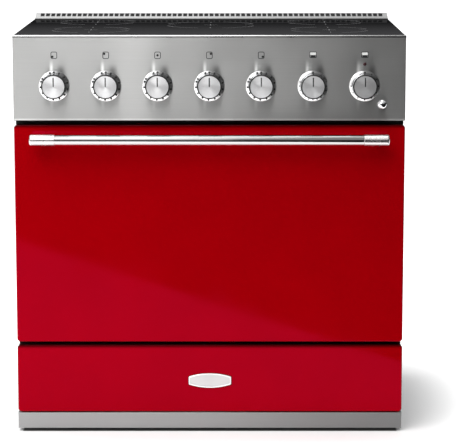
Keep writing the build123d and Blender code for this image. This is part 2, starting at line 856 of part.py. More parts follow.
with BuildPart() as handle_ends:
    for side in (-1, 1):
        with BuildSketch(across(side * bar_half)):
            with Locations((handle_y, handle_z)):
                Circle(ferrule_radius)
        extrude(amount=side * ferrule_length)
    fillet(handle_ends.faces().sort_by(Axis.X)[0].edges(), ferrule_round)
    fillet(handle_ends.faces().sort_by(Axis.X)[-1].edges(), ferrule_round)
    with BuildSketch(facing(front_y)):
        with Locations((-post_x, handle_z), (post_x, handle_z)):
            Circle(post_radius)
    extrude(amount=front_y - handle_y)
finish(handle_ends, "handle_ends")

# Control panel: a pan open at its back, with holes for the controls, sharp where it meets the trim
with BuildPart() as control_panel:
    with BuildSketch(facing(front_y)):
        with Locations((0, panel_mid_z)):
            Rectangle(width, panel_height)
    extrude(amount=-(frame_y - front_y))
    panel_front_edges = control_panel.faces().sort_by(Axis.Y)[0].edges().sort_by(Axis.Z)
    fillet(panel_front_edges[:-1], panel_edge)
    offset(amount=-sheet, openings=control_panel.faces().sort_by(Axis.Y)[-1])
    with BuildSketch(facing(front_y)):
        with Locations(*knob_points):
            Circle(bushing_radius + fit_clearance)
        with Locations(lens_point):
            Circle(lens_stem_radius + fit_clearance)
        with Locations(button_point):
            Circle(button_stem_radius + 2 * fit_clearance)
    extrude(amount=-sheet, mode=Mode.SUBTRACT)
finish(control_panel, "control_panel")

# Bezel rings round the knobs, sloping up to a narrow land at the bore
bezel_rise = bezel_height - bezel_edge
bezel_slope = degrees(atan2(bezel_radius - bezel_bore - bezel_land, bezel_rise))
with BuildPart() as knob_bezels:
    with BuildSketch(facing(front_y)):
        with Locations(*knob_points):
            Circle(bezel_radius)
    extrude(amount=bezel_edge)
    with BuildSketch(facing(front_y - bezel_edge)):
        with Locations(*knob_points):
            Circle(bezel_radius)
    extrude(amount=bezel_rise, taper=bezel_slope)
    with BuildSketch(facing(front_y)):
        with Locations(*knob_points):
            Circle(bezel_bore)
    extrude(amount=bezel_height, mode=Mode.SUBTRACT)
finish(knob_bezels, "knob_bezels")

# Rotary switches behind the panel, with a bushing through it and a shaft into the knob
panel_inner_y = front_y + sheet
knob_back_y = front_y - knob_lift
shaft_tip_y = knob_back_y - knob_bore_depth + knob_lift
with BuildPart() as control_switches:
    with BuildSketch(facing(panel_inner_y)):
        with Locations(*knob_points):
            Rectangle(switch_size, switch_size)
    extrude(amount=-switch_depth)
    with BuildSketch(facing(panel_inner_y)):
        with Locations(*knob_points):
            Circle(bushing_radius)
    extrude(amount=sheet)
    with BuildSketch(facing(front_y)):
        with Locations(*knob_points):
            Circle(knob_shaft_radius)
    extrude(amount=front_y - shaft_tip_y)
finish(control_switches, "control_switches")

# Knobs: a skirt inside the bezel, a cap with a pointer groove and a bore for the shaft
for number, (knob_x, _) in enumerate(knob_points, start=1):
    with BuildPart() as knob:
        with BuildSketch(facing(knob_back_y)):
            with Locations((knob_x, knob_z)):
                Circle(knob_radius)
        extrude(amount=knob_length)
        fillet(knob.faces().sort_by(Axis.Y)[0].edges(), knob_round)
        with BuildSketch(facing(knob_back_y)):
            with Locations((knob_x, knob_z)):
                Circle(bezel_bore - skirt_clearance)
        extrude(amount=knob_skirt_height)
        with BuildSketch(facing(knob_back_y)):
            with Locations((knob_x, knob_z)):
                Circle(knob_shaft_radius + running_clearance)
        extrude(amount=knob_bore_depth, mode=Mode.SUBTRACT)
        pointer_length = knob_radius - pointer_margin
        with BuildSketch(facing(knob_back_y - knob_length)):
            with Locations((knob_x, knob_z + pointer_length / 2)):
                Rectangle(pointer_width, pointer_length)
        extrude(amount=-pointer_depth, mode=Mode.SUBTRACT)
    finish(knob, f"knob_{number}")

# Indicator lens in the panel
with BuildPart() as indicator_lens:
    with BuildSketch(facing(front_y)):
        with Locations(lens_point):
            Circle(lens_radius)
    extrude(amount=lens_height)
    fillet(indicator_lens.faces().sort_by(Axis.Y)[0].edges(), lens_height - lens_rim)
    with BuildSketch(facing(front_y)):
        with Locations(lens_point):
            Circle(lens_stem_radius)
    extrude(amount=-lens_stem_length)
finish(indicator_lens, "indicator_lens")

# Push switch behind the panel, bored for the button's stem
with BuildPart() as light_switch:
    with BuildSketch(facing(panel_inner_y)):
        with Locations(button_point):
            Rectangle(button_switch_size, button_switch_size)
            Circle(button_stem_radius + running_clearance, mode=Mode.SUBTRACT)
    extrude(amount=-button_switch_depth)
finish(light_switch, "light_switch")

# Push button: a polished dome on a stem
button_back_y = front_y - button_lift
button_x, button_z = button_point
dome_radius = (button_radius**2 + button_dome**2) / (2 * button_dome)
with BuildPart() as light_button:
    with BuildSketch(Plane(origin=(button_x, button_back_y, button_z), x_dir=(1, 0, 0), z_dir=(0, 0, 1))):
        with BuildLine():
            Line((0, 0), (button_radius, 0))
            Line((button_radius, 0), (button_radius, -button_rim))
            RadiusArc((button_radius, -button_rim), (0, -button_rim - button_dome), dome_radius)
            Line((0, -button_rim - button_dome), (0, 0))
        make_face()
    revolve(axis=Axis((button_x, button_back_y, button_z), (0, 1, 0)))
    with BuildSketch(facing(button_back_y)):
        with Locations(button_point):
            Circle(button_stem_radius)
    extrude(amount=-button_stem_length)
finish(light_button, "light_button")

# Hob trim: a plate with the coil opening, the exhaust opening and a raised front lip
vent_front_y = back_y - vent_depth
trim_open_front = front_y + trim_front_border
trim_open_back = vent_front_y - trim_border
with BuildPart() as hob_trim:
    with BuildSketch(Plane.XY.offset(panel_top_z)):
        with Locations((0, (front_y + back_y) / 2)):
            Rectangle(width, body_depth)
        with Locations((0, (trim_open_front + trim_open_back) / 2)):
            Rectangle(width - 2 * trim_border, trim_open_back - trim_open_front, mode=Mode.SUBTRACT)
        with Locations((0, (vent_front_y + back_y) / 2)):
            Rectangle(width - 2 * trim_border, vent_depth - 2 * exhaust_margin, mode=Mode.SUBTRACT)
    extrude(amount=sheet)
    with BuildSketch(Plane.XY.offset(glass_bottom_z)):
        with Locations((0, front_y + lip_depth / 2)):
            Rectangle(width, lip_depth)
    extrude(amount=glass_thickness)
    lip_edge = hob_trim.faces().sort_by(Axis.Z)[-1].edges().filter_by(Axis.X).sort_by(Axis.Y)[0]
    fillet(lip_edge, lip_round)
finish(hob_trim, "hob_trim")

# Hob glass between the lip and the vent
glass_front_y = front_y + lip_depth + glass_front_gap
glass_back_y = vent_front_y - vent_gap
with BuildPart() as hob_glass:
    with BuildSketch(Plane.XY.offset(glass_bottom_z)):
        with Locations((0, (glass_front_y + glass_back_y) / 2)):
            RectangleRounded(width - 2 * glass_side_gap, glass_back_y - glass_front_y, glass_corner)
    extrude(amount=glass_thickness)
    chamfer(hob_glass.faces().sort_by(Axis.Z)[-1].edges(), glass_edge)
finish(hob_glass, "hob_glass")

# Rear vent: a low sloping cover with a row of slots
vent_front_z = glass_top_z + vent_front_rise
vent_back_z = glass_top_z + vent_back_rise
vent_half = width / 2 - glass_side_gap
vent_slots = int((2 * vent_half - 2 * slot_end_margin) / slot_pitch)
vent_outline = [
    (vent_front_y, glass_bottom_z),
    (vent_front_y, vent_front_z),
    (back_y, vent_back_z),
    (back_y, glass_bottom_z),
]
vent_inside = [
    (vent_front_y + sheet, glass_bottom_z),
    (vent_front_y + sheet, vent_front_z - sheet),
    (back_y - sheet, vent_back_z - sheet),
    (back_y - sheet, glass_bottom_z),
]
with BuildPart() as rear_vent:
    with BuildSketch(across(0)):
        with BuildLine():
            Polyline(*vent_outline, close=True)
        make_face()
    extrude(amount=vent_half, both=True)
    with BuildSketch(across(0)):
        with BuildLine():
            Polyline(*vent_inside, close=True)
        make_face()
    extrude(amount=vent_half - sheet, both=True, mode=Mode.SUBTRACT)
    with BuildSketch(Plane.XY.offset(glass_top_z)):
        with Locations((0, (vent_front_y + back_y) / 2 + slot_setback)):
            with GridLocations(slot_pitch, 0, vent_slots, 1):
                RectangleRounded(slot_width, vent_depth - 2 * slot_margin, slot_corner)
    extrude(amount=vent_back_rise, mode=Mode.SUBTRACT)
finish(rear_vent, "rear_vent")

# Coil tray on the front frame, with the coils standing on it
zone_front_y = front_y + zone_front_setback
zone_rear_y = front_y + zone_rear_setback
zone_points = [(side * zone_x, y) for side in (-1, 1) for y in (zone_front_y, zone_rear_y)]
zone_centre = (0, front_y + zone_centre_setback)
with BuildPart() as coil_tray:
    with BuildSketch(Plane.XY.offset(tray_z)):
        with Locations((0, (frame_y + flange_y) / 2)):
            Rectangle(2 * side_inner_x, flange_y - frame_y)
    extrude(amount=sheet)
finish(coil_tray, "coil_tray")

with BuildPart() as induction_coils:
    for height, margin in ((coil_base, 0), (coil_height, coil_base_margin)):
        with BuildSketch(Plane.XY.offset(coil_bottom_z)):
            with Locations(*zone_points):
                Circle(coil_radius - margin)
            with Locations(zone_centre):
                Circle(coil_centre_radius - margin)
        extrude(amount=height)
    with BuildSketch(Plane.XY.offset(coil_bottom_z)):
        with Locations(*zone_points, zone_centre):
            Circle(coil_bore_radius)
    extrude(amount=coil_height, mode=Mode.SUBTRACT)
finish(induction_coils, "induction_coils")

# Power modules on the deck, with heat-sink fins
module_mid_y = front_y + module_setback
module_points = [(-module_spacing / 2, module_mid_y), (module_spacing / 2, module_mid_y)]
fin_pitch = (module_length - fin_width) / (fin_count - 1)
with BuildPart() as power_modules:
    with BuildSketch(Plane.XY.offset(deck_top_z)):
        with Locations(*module_points):
            Rectangle(module_length, module_depth)
    extrude(amount=module_height)
    with BuildSketch(Plane.XY.offset(deck_top_z + module_height)):
        with Locations(*module_points):
            with GridLocations(fin_pitch, 0, fin_count, 1):
                Rectangle(fin_width, module_depth)
    extrude(amount=fin_height)
finish(power_modules, "power_modules")

# Cooling fan housing on the deck: a square frame with a motor mount on three struts
blower_z = deck_top_z + blower_size / 2
blower_y = front_y + blower_setback
strut_mid = (blower_hub_radius + blower_radius) / 2
strut_length = blower_radius - blower_hub_radius + 2 * blower_tip_gap
with BuildPart() as cooling_fan_housing:
    with BuildSketch(facing(blower_y)):
        with Locations((0, blower_z)):
            Rectangle(blower_size, blower_size)
            Circle(blower_radius, mode=Mode.SUBTRACT)
    extrude(amount=-blower_depth)
    with BuildSketch(facing(blower_y + blower_depth - blower_mount)):
        with Locations((0, blower_z)):
            Circle(blower_hub_radius)
            with PolarLocations(strut_mid, blower_strut_count, start_angle=90):
                Rectangle(strut_length, blower_strut)
    extrude(amount=-blower_mount)
    with BuildSketch(facing(blower_y + blower_depth - blower_mount)):
        with Locations((0, blower_z)):
            Circle(blower_shaft_radius)
    extrude(amount=blower_depth - 2 * blower_mount)
finish(cooling_fan_housing, "cooling_fan_housing")

# Cooling fan: a hub on the housing's shaft with pitched blades
rotor_depth = blower_depth - blower_mount - 2 * blower_blade_gap
rotor_mid_y = blower_y + blower_blade_gap + rotor_depth / 2
blade_root = blower_hub_radius - blower_blade
blade_tip = sqrt((blower_radius - blower_tip_gap) ** 2 - (blower_chord / 2) ** 2)
blade_pitch = radians(blower_pitch)
with BuildPart() as cooling_fan:
    with BuildSketch(facing(rotor_mid_y)):
        with Locations((0, blower_z)):
            Circle(blower_hub_radius)
    extrude(amount=rotor_depth / 2, both=True)
    for blade in range(blower_blade_count):
        turn = radians(360 / blower_blade_count * blade)
        radial = Vector(cos(turn), 0, sin(turn))
        tangent = Vector(-sin(turn), 0, cos(turn))
        normal = tangent * sin(blade_pitch) - Vector(0, cos(blade_pitch), 0)
        with BuildSketch(Plane(origin=(0, rotor_mid_y, blower_z), x_dir=radial, z_dir=normal)):
            with Locations(((blade_root + blade_tip) / 2, 0)):
                Rectangle(blade_tip - blade_root, blower_chord)
        extrude(amount=blower_blade / 2, both=True)
    with BuildSketch(facing(rotor_mid_y)):
        with Locations((0, blower_z)):
            Circle(blower_shaft_radius + running_clearance)
    extrude(amount=rotor_depth, both=True, mode=Mode.SUBTRACT)
finish(cooling_fan, "cooling_fan")

# Terminal box inside the back panel, with the cable inlet through it
terminal_front_y = rear_inner_y - terminal_depth
with BuildPart() as terminal_box:
    with BuildSketch(facing(terminal_front_y)):
        with Locations((inlet_x, inlet_z)):
            Rectangle(terminal_width, terminal_height)
    extrude(amount=-terminal_depth)
    with BuildSketch(facing(terminal_front_y + terminal_wall)):
        with Locations((inlet_x, inlet_z)):
            Rectangle(terminal_width - 2 * terminal_wall, terminal_height - 2 * terminal_wall)
    extrude(amount=-(terminal_depth - 2 * terminal_wall), mode=Mode.SUBTRACT)
    with BuildSketch(facing(back_y)):
        with Locations((inlet_x, inlet_z)):
            Circle(inlet_outer_radius)
    extrude(amount=inlet_length)
    with BuildSketch(facing(back_y)):
        with Locations((inlet_x, inlet_z)):
            Circle(inlet_radius)
    extrude(amount=inlet_length, mode=Mode.SUBTRACT)
finish(terminal_box, "terminal_box")

# Plinth: a strip with returns at its ends and a flange under the base pan
plinth_half = width / 2 - side_inset / 2
plinth_flange = base_setback + plinth_lap
plinth_return_x = plinth_half - sheet / 2
plinth_return_y = front_y + plinth_return / 2
with BuildPart() as plinth:
    with BuildSketch(Plane.XY.offset(plinth_gap)):
        with Locations((0, front_y + sheet / 2)):
            Rectangle(2 * plinth_half, sheet)
        with Locations((-plinth_return_x, plinth_return_y), (plinth_return_x, plinth_return_y)):
            Rectangle(sheet, plinth_return)
    extrude(amount=plinth_height)
    with BuildSketch(Plane.XY.offset(base_z - sheet)):
        with Locations((0, front_y + plinth_flange / 2)):
            Rectangle(2 * (plinth_half - sheet), plinth_flange)
    extrude(amount=sheet)
finish(plinth, "plinth")

# Front feet: a disc, a stem and a lock nut under the base pan
foot_x = side_inner_x - foot_inset
foot_points = [(-foot_x, front_y + foot_setback), (foot_x, front_y + foot_setback)]
with BuildPart() as front_feet:
    with BuildSketch(Plane.XY):
        with Locations(*foot_points):
            Circle(foot_radius)
    extrude(amount=foot_disc)
    with BuildSketch(Plane.XY):
        with Locations(*foot_points):
            Circle(foot_stem_radius)
    extrude(amount=base_z)
    with BuildSketch(Plane.XY.offset(base_z)):
        with Locations(*foot_points):
            RegularPolygon(foot_nut_radius, 6)
    extrude(amount=-foot_nut_height)
finish(front_feet, "front_feet")

# Roller brackets under the back of the base pan, each with its axle pin
roller_x = side_inner_x - roller_inset
roller_y = flange_y - roller_setback
cheek_gap_half = roller_width / 2 + roller_side_gap
with BuildPart() as roller_brackets:
    for side in (-1, 1):
        with BuildSketch(Plane.XY.offset(base_z)):
            with Locations((side * roller_x, roller_y)):
                Rectangle(2 * (cheek_gap_half + bracket_sheet), bracket_length)
        extrude(amount=-bracket_sheet)
        for cheek_side in (-1, 1):
            with BuildSketch(Plane.XY.offset(bracket_floor_gap)):
                cheek_x = side * roller_x + cheek_side * (cheek_gap_half + bracket_sheet / 2)
                with Locations((cheek_x, roller_y)):
                    Rectangle(bracket_sheet, bracket_length)
            extrude(amount=base_z - bracket_floor_gap)
        with BuildSketch(across(side * roller_x)):
            with Locations((roller_y, roller_radius)):
                Circle(axle_radius)
        extrude(amount=cheek_gap_half, both=True)
finish(roller_brackets, "roller_brackets")

for side, roller_name in ((-1, "roller_left"), (1, "roller_right")):
    with BuildPart() as roller:
        with BuildSketch(across(side * roller_x)):
            with Locations((roller_y, roller_radius)):
                Circle(roller_radius)
                Circle(axle_radius + running_clearance, mode=Mode.SUBTRACT)
        extrude(amount=roller_width / 2, both=True)
    finish(roller, roller_name)

# Drawer front with its blank badge plate
drawer_front = skin(drawer_bottom_z, drawer_top_z)
finish(drawer_front, "drawer_front")

badge_z = drawer_top_z - badge_drop
badge_half = badge_length / 2
badge_end_half = badge_end_height / 2
with BuildPart() as badge:
    with BuildSketch(facing(front_y)) as badge_outline:
        with BuildLine():
            upper = ThreePointArc(
                (-badge_half, badge_z + badge_end_half),
                (0, badge_z + badge_height / 2),
                (badge_half, badge_z + badge_end_half),
            )
            lower = ThreePointArc(
                (-badge_half, badge_z - badge_end_half),
                (0, badge_z - badge_height / 2),
                (badge_half, badge_z - badge_end_half),
            )
            Line(upper @ 0, lower @ 0)
            Line(upper @ 1, lower @ 1)
        make_face()
        fillet(badge_outline.vertices(), badge_corner)
    extrude(amount=badge_thickness)
    fillet(badge.faces().sort_by(Axis.Y)[0].edges(), badge_edge)
finish(badge, "badge")

# Rails on standoffs from the side panels
rail_outer = side_inner_x - rail_standoff
rail_inner = rail_outer - rail_depth
rail_z = base_z + rail_lift
rail_mid_z = rail_z + rail_height / 2
rail_back_y = flange_y - rail_rear_gap
rail_length = rail_back_y - frame_back_y
standoff_ys = (frame_back_y + standoff_length, rail_back_y - standoff_length)
with BuildPart() as drawer_rails:
    for side in (-1, 1):
        with BuildSketch(facing(frame_back_y)):
            with Locations((side * (rail_outer - rail_depth / 2), rail_mid_z)):
                Rectangle(rail_depth, rail_height)
            with Locations((side * (rail_outer - rail_depth / 2 - rail_wall / 2), rail_mid_z)):
                Rectangle(rail_depth - rail_wall, rail_height - 2 * rail_wall, mode=Mode.SUBTRACT)
        extrude(amount=-rail_length)
        for standoff_y in standoff_ys:
            with BuildSketch(facing(standoff_y - standoff_length / 2)):
                with Locations((side * (rail_outer + rail_standoff / 2), rail_mid_z)):
                    Rectangle(rail_standoff, rail_height)
            extrude(amount=-standoff_length)
finish(drawer_rails, "drawer_rails")

# Drawer box: a front plate on the skin and an open tray behind it
tray_half = rail_inner - slide_side_gap
drawer_back_y = rear_inner_y - drawer_rear_gap
tray_bottom_z = base_top_z + tray_clearance
tray_length = drawer_back_y - door_back_y
with BuildPart() as drawer_box:
    with BuildSketch(facing(skin_back_y)):
        with Locations((0, (drawer_bottom_z + drawer_top_z) / 2)):
            RectangleRounded(width - 2 * sheet, drawer_height - 2 * sheet, skin_corner - sheet)
    extrude(amount=-sheet)
    with BuildSketch(Plane.XY.offset(tray_bottom_z)):
        with Locations((0, (door_back_y + drawer_back_y) / 2)):
            Rectangle(2 * tray_half, tray_length)
    extrude(amount=tray_height)
    with BuildSketch(Plane.XY.offset(tray_bottom_z + sheet)):
        with Locations((0, (door_back_y + drawer_back_y - sheet) / 2)):
            Rectangle(2 * (tray_half - sheet), tray_length - sheet)
    extrude(amount=tray_height, mode=Mode.SUBTRACT)
finish(drawer_box, "drawer_box")

# Drawer slides: bars on the tray's sides that run inside the rails
slide_tip = rail_outer - rail_wall - slide_gap
slide_height = rail_height - 2 * (rail_wall + slide_gap)
with BuildPart() as drawer_slides:
    with BuildSketch(facing(frame_back_y)):
        with Locations(*[(side * (tray_half + slide_tip) / 2, rail_mid_z) for side in (-1, 1)]):
            Rectangle(slide_tip - tray_half, slide_height)
    extrude(amount=-(drawer_back_y - frame_back_y))
finish(drawer_slides, "drawer_slides")
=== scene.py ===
"""Looks of a free-standing induction range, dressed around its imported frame. Lengths are in metres."""

import logging
import math
from dataclasses import dataclass
from enum import Enum
from functools import lru_cache
from typing import Any, Iterable, Sequence

import bmesh
import bpy
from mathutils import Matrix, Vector


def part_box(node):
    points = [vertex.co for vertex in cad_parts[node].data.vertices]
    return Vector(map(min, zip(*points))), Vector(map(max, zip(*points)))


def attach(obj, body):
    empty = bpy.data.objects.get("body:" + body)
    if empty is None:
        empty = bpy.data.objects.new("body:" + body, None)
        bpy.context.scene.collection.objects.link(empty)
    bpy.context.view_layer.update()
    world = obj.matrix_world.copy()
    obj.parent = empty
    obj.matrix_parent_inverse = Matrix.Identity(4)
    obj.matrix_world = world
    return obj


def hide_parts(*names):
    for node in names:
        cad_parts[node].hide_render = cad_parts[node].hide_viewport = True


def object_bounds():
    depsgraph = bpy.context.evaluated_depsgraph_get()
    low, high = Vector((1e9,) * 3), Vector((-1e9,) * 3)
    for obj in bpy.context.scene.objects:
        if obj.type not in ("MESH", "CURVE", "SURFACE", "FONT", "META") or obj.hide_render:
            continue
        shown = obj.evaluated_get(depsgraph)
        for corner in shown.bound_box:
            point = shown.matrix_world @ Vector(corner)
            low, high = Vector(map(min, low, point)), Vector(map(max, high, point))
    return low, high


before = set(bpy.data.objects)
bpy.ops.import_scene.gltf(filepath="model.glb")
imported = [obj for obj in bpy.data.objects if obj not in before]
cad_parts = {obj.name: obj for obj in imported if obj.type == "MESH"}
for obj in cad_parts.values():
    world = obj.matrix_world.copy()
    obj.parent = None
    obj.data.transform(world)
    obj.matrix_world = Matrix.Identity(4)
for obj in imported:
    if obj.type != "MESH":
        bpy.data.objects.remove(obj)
cad_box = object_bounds()

log = logging.getLogger("range")

Colour = tuple[float, float, float, float]
Triple = tuple[float, float, float]
Pair = tuple[float, float]
Outline = list[Pair]
Ring = list[Vector]
Socket = bpy.types.NodeSocket
Mesh = bpy.types.Mesh
Looks = dict[str, Any]

FLOAT = "NodeSocketFloat"
VECTOR = "NodeSocketVector"
COUNT = "NodeSocketInt"
OBJECT = "NodeSocketObject"
MATERIAL = "NodeSocketMaterial"
GEOMETRY = "NodeSocketGeometry"

WHITE = (1.0, 1.0, 1.0, 1.0)
BLACK = (0.0, 0.0, 0.0, 1.0)
SHARP_ANGLE = math.radians(40)
WELD = 0.00002
TINY = 1e-9
# Ranges of noise or of distance in a cell that become patches, smudges and specks.
NOISE_RANGE = (0.3, 0.7)
SMUDGE_RANGE = (0.42, 0.68)
SPECK_RANGE = (0.08, 0.2)
# Segments round a piece, in a corner and in a bend, by how near it is seen.
FINE = 96
ROUND = 48
COARSE = 16
CORNER = 8
SMALL_CORNER = 4
BEND = 6
# Radius at which a turned cap ends.
TIP = 0.0004


def tone(red: int, green: int, blue: int) -> Colour:
    """Linear colour of a display colour, by the standard display curve.

    Args:
        red: Display red from 0 to 255.
        green: Display green from 0 to 255.
        blue: Display blue from 0 to 255.

    Returns:
        The linear colour with full alpha.
    """
    linear = [((c / 255 + 0.055) / 1.055) ** 2.4 if c > 10 else c / 255 / 12.92 for c in (red, green, blue)]
    return (*linear, 1.0)


@dataclass(frozen=True)
class Span:
    """Box of a CAD node at rest."""

    low: Vector
    high: Vector

    @classmethod
    def of(cls, node: str) -> "Span":
        """The box of a named node."""
        return cls(*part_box(node))

    @property
    def centre(self) -> Vector:
        """Middle of the box."""
        return (self.low + self.high) / 2

    @property
    def size(self) -> Vector:
        """Edge lengths of the box."""
        return self.high - self.low


class Facing(Enum):
    """Way in which a turned or lofted piece grows from its centre."""

    FRONT = "towards the user"
    SIDE = "towards the right"

    def point(self, centre: Vector, u: float, v: float, along: float) -> Vector:
        """Place a point of an outline.

        Args:
            centre: Start of the axis.
            u: First coordinate in the outline's plane.
            v: Second coordinate in the outline's plane.
            along: Distance along the axis.

        Returns:
            The point in the shared frame.
        """
        if self is Facing.FRONT:
            return centre + Vector((u, -along, v))
        return centre + Vector((along, u, v))


class Grain(Enum):
    """Direction of the fine lines on a metal face: the pattern's stretch and its tangent axis."""

    ACROSS = ((3.0, 1500.0, 1500.0), "Z")
    TURNED = ((1.0, 1.0, 1.0), "Y")

    @property
    def stretch(self) -> Triple:
        """Scale of the scratch pattern along X, Y and Z."""
        return self.value[0]

    @property
    def tangent_axis(self) -> str:
        """Axis that the tangent turns about."""
        return self.value[1]


class NodeBuilder:
    """Adds nodes to a tree and wires each in one call."""

    def __init__(self, tree: bpy.types.NodeTree) -> None:
        """Keep the tree that grows."""
        self.tree = tree

    def feed(self, node: bpy.types.Node, inputs: dict) -> None:
        """Link a node's inputs to sockets, or set their constants.

        Args:
            node: The node.
            inputs: Constants and sockets by input name or number.
        """
        for key, value in inputs.items():
            if isinstance(value, Socket):
                self.tree.links.new(value, node.inputs[key])
            else:
                node.inputs[key].default_value = value

    def add(self, kind: str, inputs: dict | None = None, **settings: Any) -> bpy.types.Node:
        """Add a node.

        Args:
            kind: Blender's name of the node type.
            inputs: Constants and sockets by input name or number.
            **settings: Properties of the node.

        Returns:
            The new node.
        """
        node = self.tree.nodes.new(kind)
        for name, value in settings.items():
            setattr(node, name, value)
        self.feed(node, inputs or {})
        return node

    def value(self, kind: str, inputs: dict | None = None, **settings: Any) -> Socket:
        """First output of a new node."""
        return self.add(kind, inputs, **settings).outputs[0]

    def math(self, operation: str, *values: Any) -> Socket:
        """Result of a math node on sockets or constants."""
        return self.value("ShaderNodeMath", dict(enumerate(values)), operation=operation)

    def product(self, first: Any, *others: Any) -> Socket:
        """Multiply values.

        Args:
            first: Socket or constant.
            *others: More of them.

        Returns:
            The product.
        """
        for other in others:
            first = self.math("MULTIPLY", first, other)
        return first

    def scaled(self, vector: Any, factor: Any) -> Socket:
        """A vector or colour times a number."""
        return self.value("ShaderNodeVectorMath", {0: vector, "Scale": factor}, operation="SCALE")

    def remap(self, value: Any, low: float, high: float, to_low: Any, to_high: Any) -> Socket:
        """A value carried smoothly from one range to another, and held at its ends."""
        inputs = {"Value": value, 1: low, 2: high, 3: to_low, 4: to_high}
        return self.value("ShaderNodeMapRange", inputs, interpolation_type="SMOOTHSTEP")

    def band(self, value: Any, middle: float, half_width: float) -> Socket:
        """A soft band of one around a value, and zero away from it."""
        away = self.math("ABSOLUTE", self.math("SUBTRACT", value, middle))
        return self.remap(away, 0.0, half_width, 1.0, 0.0)

    def blend(self, factor: Any, first: Any, second: Any) -> Socket:
        """Mix of two colours."""
        return self.add("ShaderNodeMix", {0: factor, 6: first, 7: second}, data_type="RGBA").outputs[2]

    def noise(self, where: Any, scale: Any, detail: float) -> Socket:
        """Soft noise between 0 and 1."""
        return self.value("ShaderNodeTexNoise", {"Vector": where, "Scale": scale, "Detail": detail})

    def cells(self, where: Any, scale: Any) -> Any:
        """Outputs of a pattern of cells round scattered points."""
        return self.add("ShaderNodeTexVoronoi", {"Vector": where, "Scale": scale}).outputs

    def split(self, where: Any) -> list[Socket]:
        """X, Y and Z of a vector."""
        return list(self.add("ShaderNodeSeparateXYZ", {0: where}).outputs)

    def row_place(self, where: Any, pitch: Any, height: Any) -> tuple[Socket, Socket]:
        """Measure from the nearest centre in a row of equal pitch.

        Args:
            where: Coordinates.
            pitch: Pitch of the row, which has a centre at X of 0.
            height: Z of the row.

        Returns:
            Distance to the right of the centre, and above it.
        """
        x, _, z = self.split(where)
        half = self.product(pitch, 0.5)
        return self.math("WRAP", x, self.product(half, -1.0), half), self.math("SUBTRACT", z, height)


class NodeGroup(NodeBuilder):
    """A tree of its own with named inputs and outputs."""

    def __init__(self, name: str, kind: str, inputs: dict[str, str], outputs: dict[str, str]) -> None:
        """Make the tree and its sockets.

        Args:
            name: Name of the tree.
            kind: Blender's name of the tree type.
            inputs: Socket type of each input.
            outputs: Socket type of each output.
        """
        super().__init__(bpy.data.node_groups.new(name, kind))
        for way, sockets in (("INPUT", inputs), ("OUTPUT", outputs)):
            for label, socket_type in sockets.items():
                self.tree.interface.new_socket(label, in_out=way, socket_type=socket_type)
        self.source = self.add("NodeGroupInput")
        self.result = self.add("NodeGroupOutput")

    def __getitem__(self, label: str) -> Socket:
        """An input of the tree."""
        return self.source.outputs[label]

    def put(self, label: str, value: Socket) -> None:
        """Send a value to an output of the tree."""
        self.feed(self.result, {label: value})


class ShaderGroup(NodeGroup):
    """A shared effect of several finishes."""

    def __init__(self, name: str, inputs: dict[str, str], *outputs: str) -> None:
        """Make the group with its inputs and with outputs that are values."""
        super().__init__(name, "ShaderNodeTree", inputs, dict.fromkeys(outputs, FLOAT))

    def put_lines(self, lines: Socket) -> None:
        """Send out lines as a height and as a shade near one.

        Args:
            lines: Noise between 0 and 1.
        """
        swing = self.product(self.math("SUBTRACT", lines, 0.5), self["Contrast"])
        self.put("Shade", self.math("ADD", swing, 1.0))
        self.put("Height", lines)


@lru_cache(maxsize=None)
def scratch_effect() -> bpy.types.NodeTree:
    """Fine parallel scratches: a shade near one and a height.

    Returns:
        The group's tree.
    """
    inputs = {"Vector": VECTOR, "Stretch": VECTOR, "Contrast": FLOAT}
    group = ShaderGroup("scratches", inputs, "Shade", "Height")
    factors = {0: group["Vector"], 1: group["Stretch"]}
    stretched = group.value("ShaderNodeVectorMath", factors, operation="MULTIPLY")
    group.put_lines(group.noise(stretched, 1.0, detail=3.0))
    return group.tree


@lru_cache(maxsize=None)
def turning_effect() -> bpy.types.NodeTree:
    """Rings of a turned face round the nearest of a row of centres: a shade and a height.

    Returns:
        The group's tree.
    """
    inputs = {"Vector": VECTOR, "Row Pitch": FLOAT, "Row Height": FLOAT, "Rings": FLOAT, "Contrast": FLOAT}
    group = ShaderGroup("turning", inputs, "Shade", "Height")
    across, up = group.row_place(group["Vector"], group["Row Pitch"], group["Row Height"])
    squares = group.math("ADD", group.math("POWER", across, 2.0), group.math("POWER", up, 2.0))
    wave = {"W": group.math("SQRT", squares), "Scale": group["Rings"]}
    group.put_lines(group.value("ShaderNodeTexNoise", wave, noise_dimensions="1D"))
    return group.tree


@lru_cache(maxsize=None)
def smudge_effect() -> bpy.types.NodeTree:
    """Broad soft patches left by wiping and handling, as a mask.

    Returns:
        The group's tree.
    """
    group = ShaderGroup("smudges", {"Vector": VECTOR, "Scale": FLOAT, "Amount": FLOAT}, "Mask")
    broad = group.noise(group["Vector"], group["Scale"], detail=4.0)
    patches = group.remap(broad, *SMUDGE_RANGE, 0.0, 1.0)
    group.put("Mask", group.product(patches, group["Amount"]))
    return group.tree


@lru_cache(maxsize=None)
def grit_effect() -> bpy.types.NodeTree:
    """Small rounded bumps of a sprayed or fired coat, and specks among them.

    Returns:
        The group's tree.
    """
    group = ShaderGroup("grit", {"Vector": VECTOR, "Scale": FLOAT}, "Height", "Specks")
    cells = group.cells(group["Vector"], group["Scale"])
    group.put("Height", group.noise(group["Vector"], group["Scale"], detail=3.0))
    group.put("Specks", group.remap(cells["Distance"], *SPECK_RANGE, 1.0, 0.0))
    return group.tree


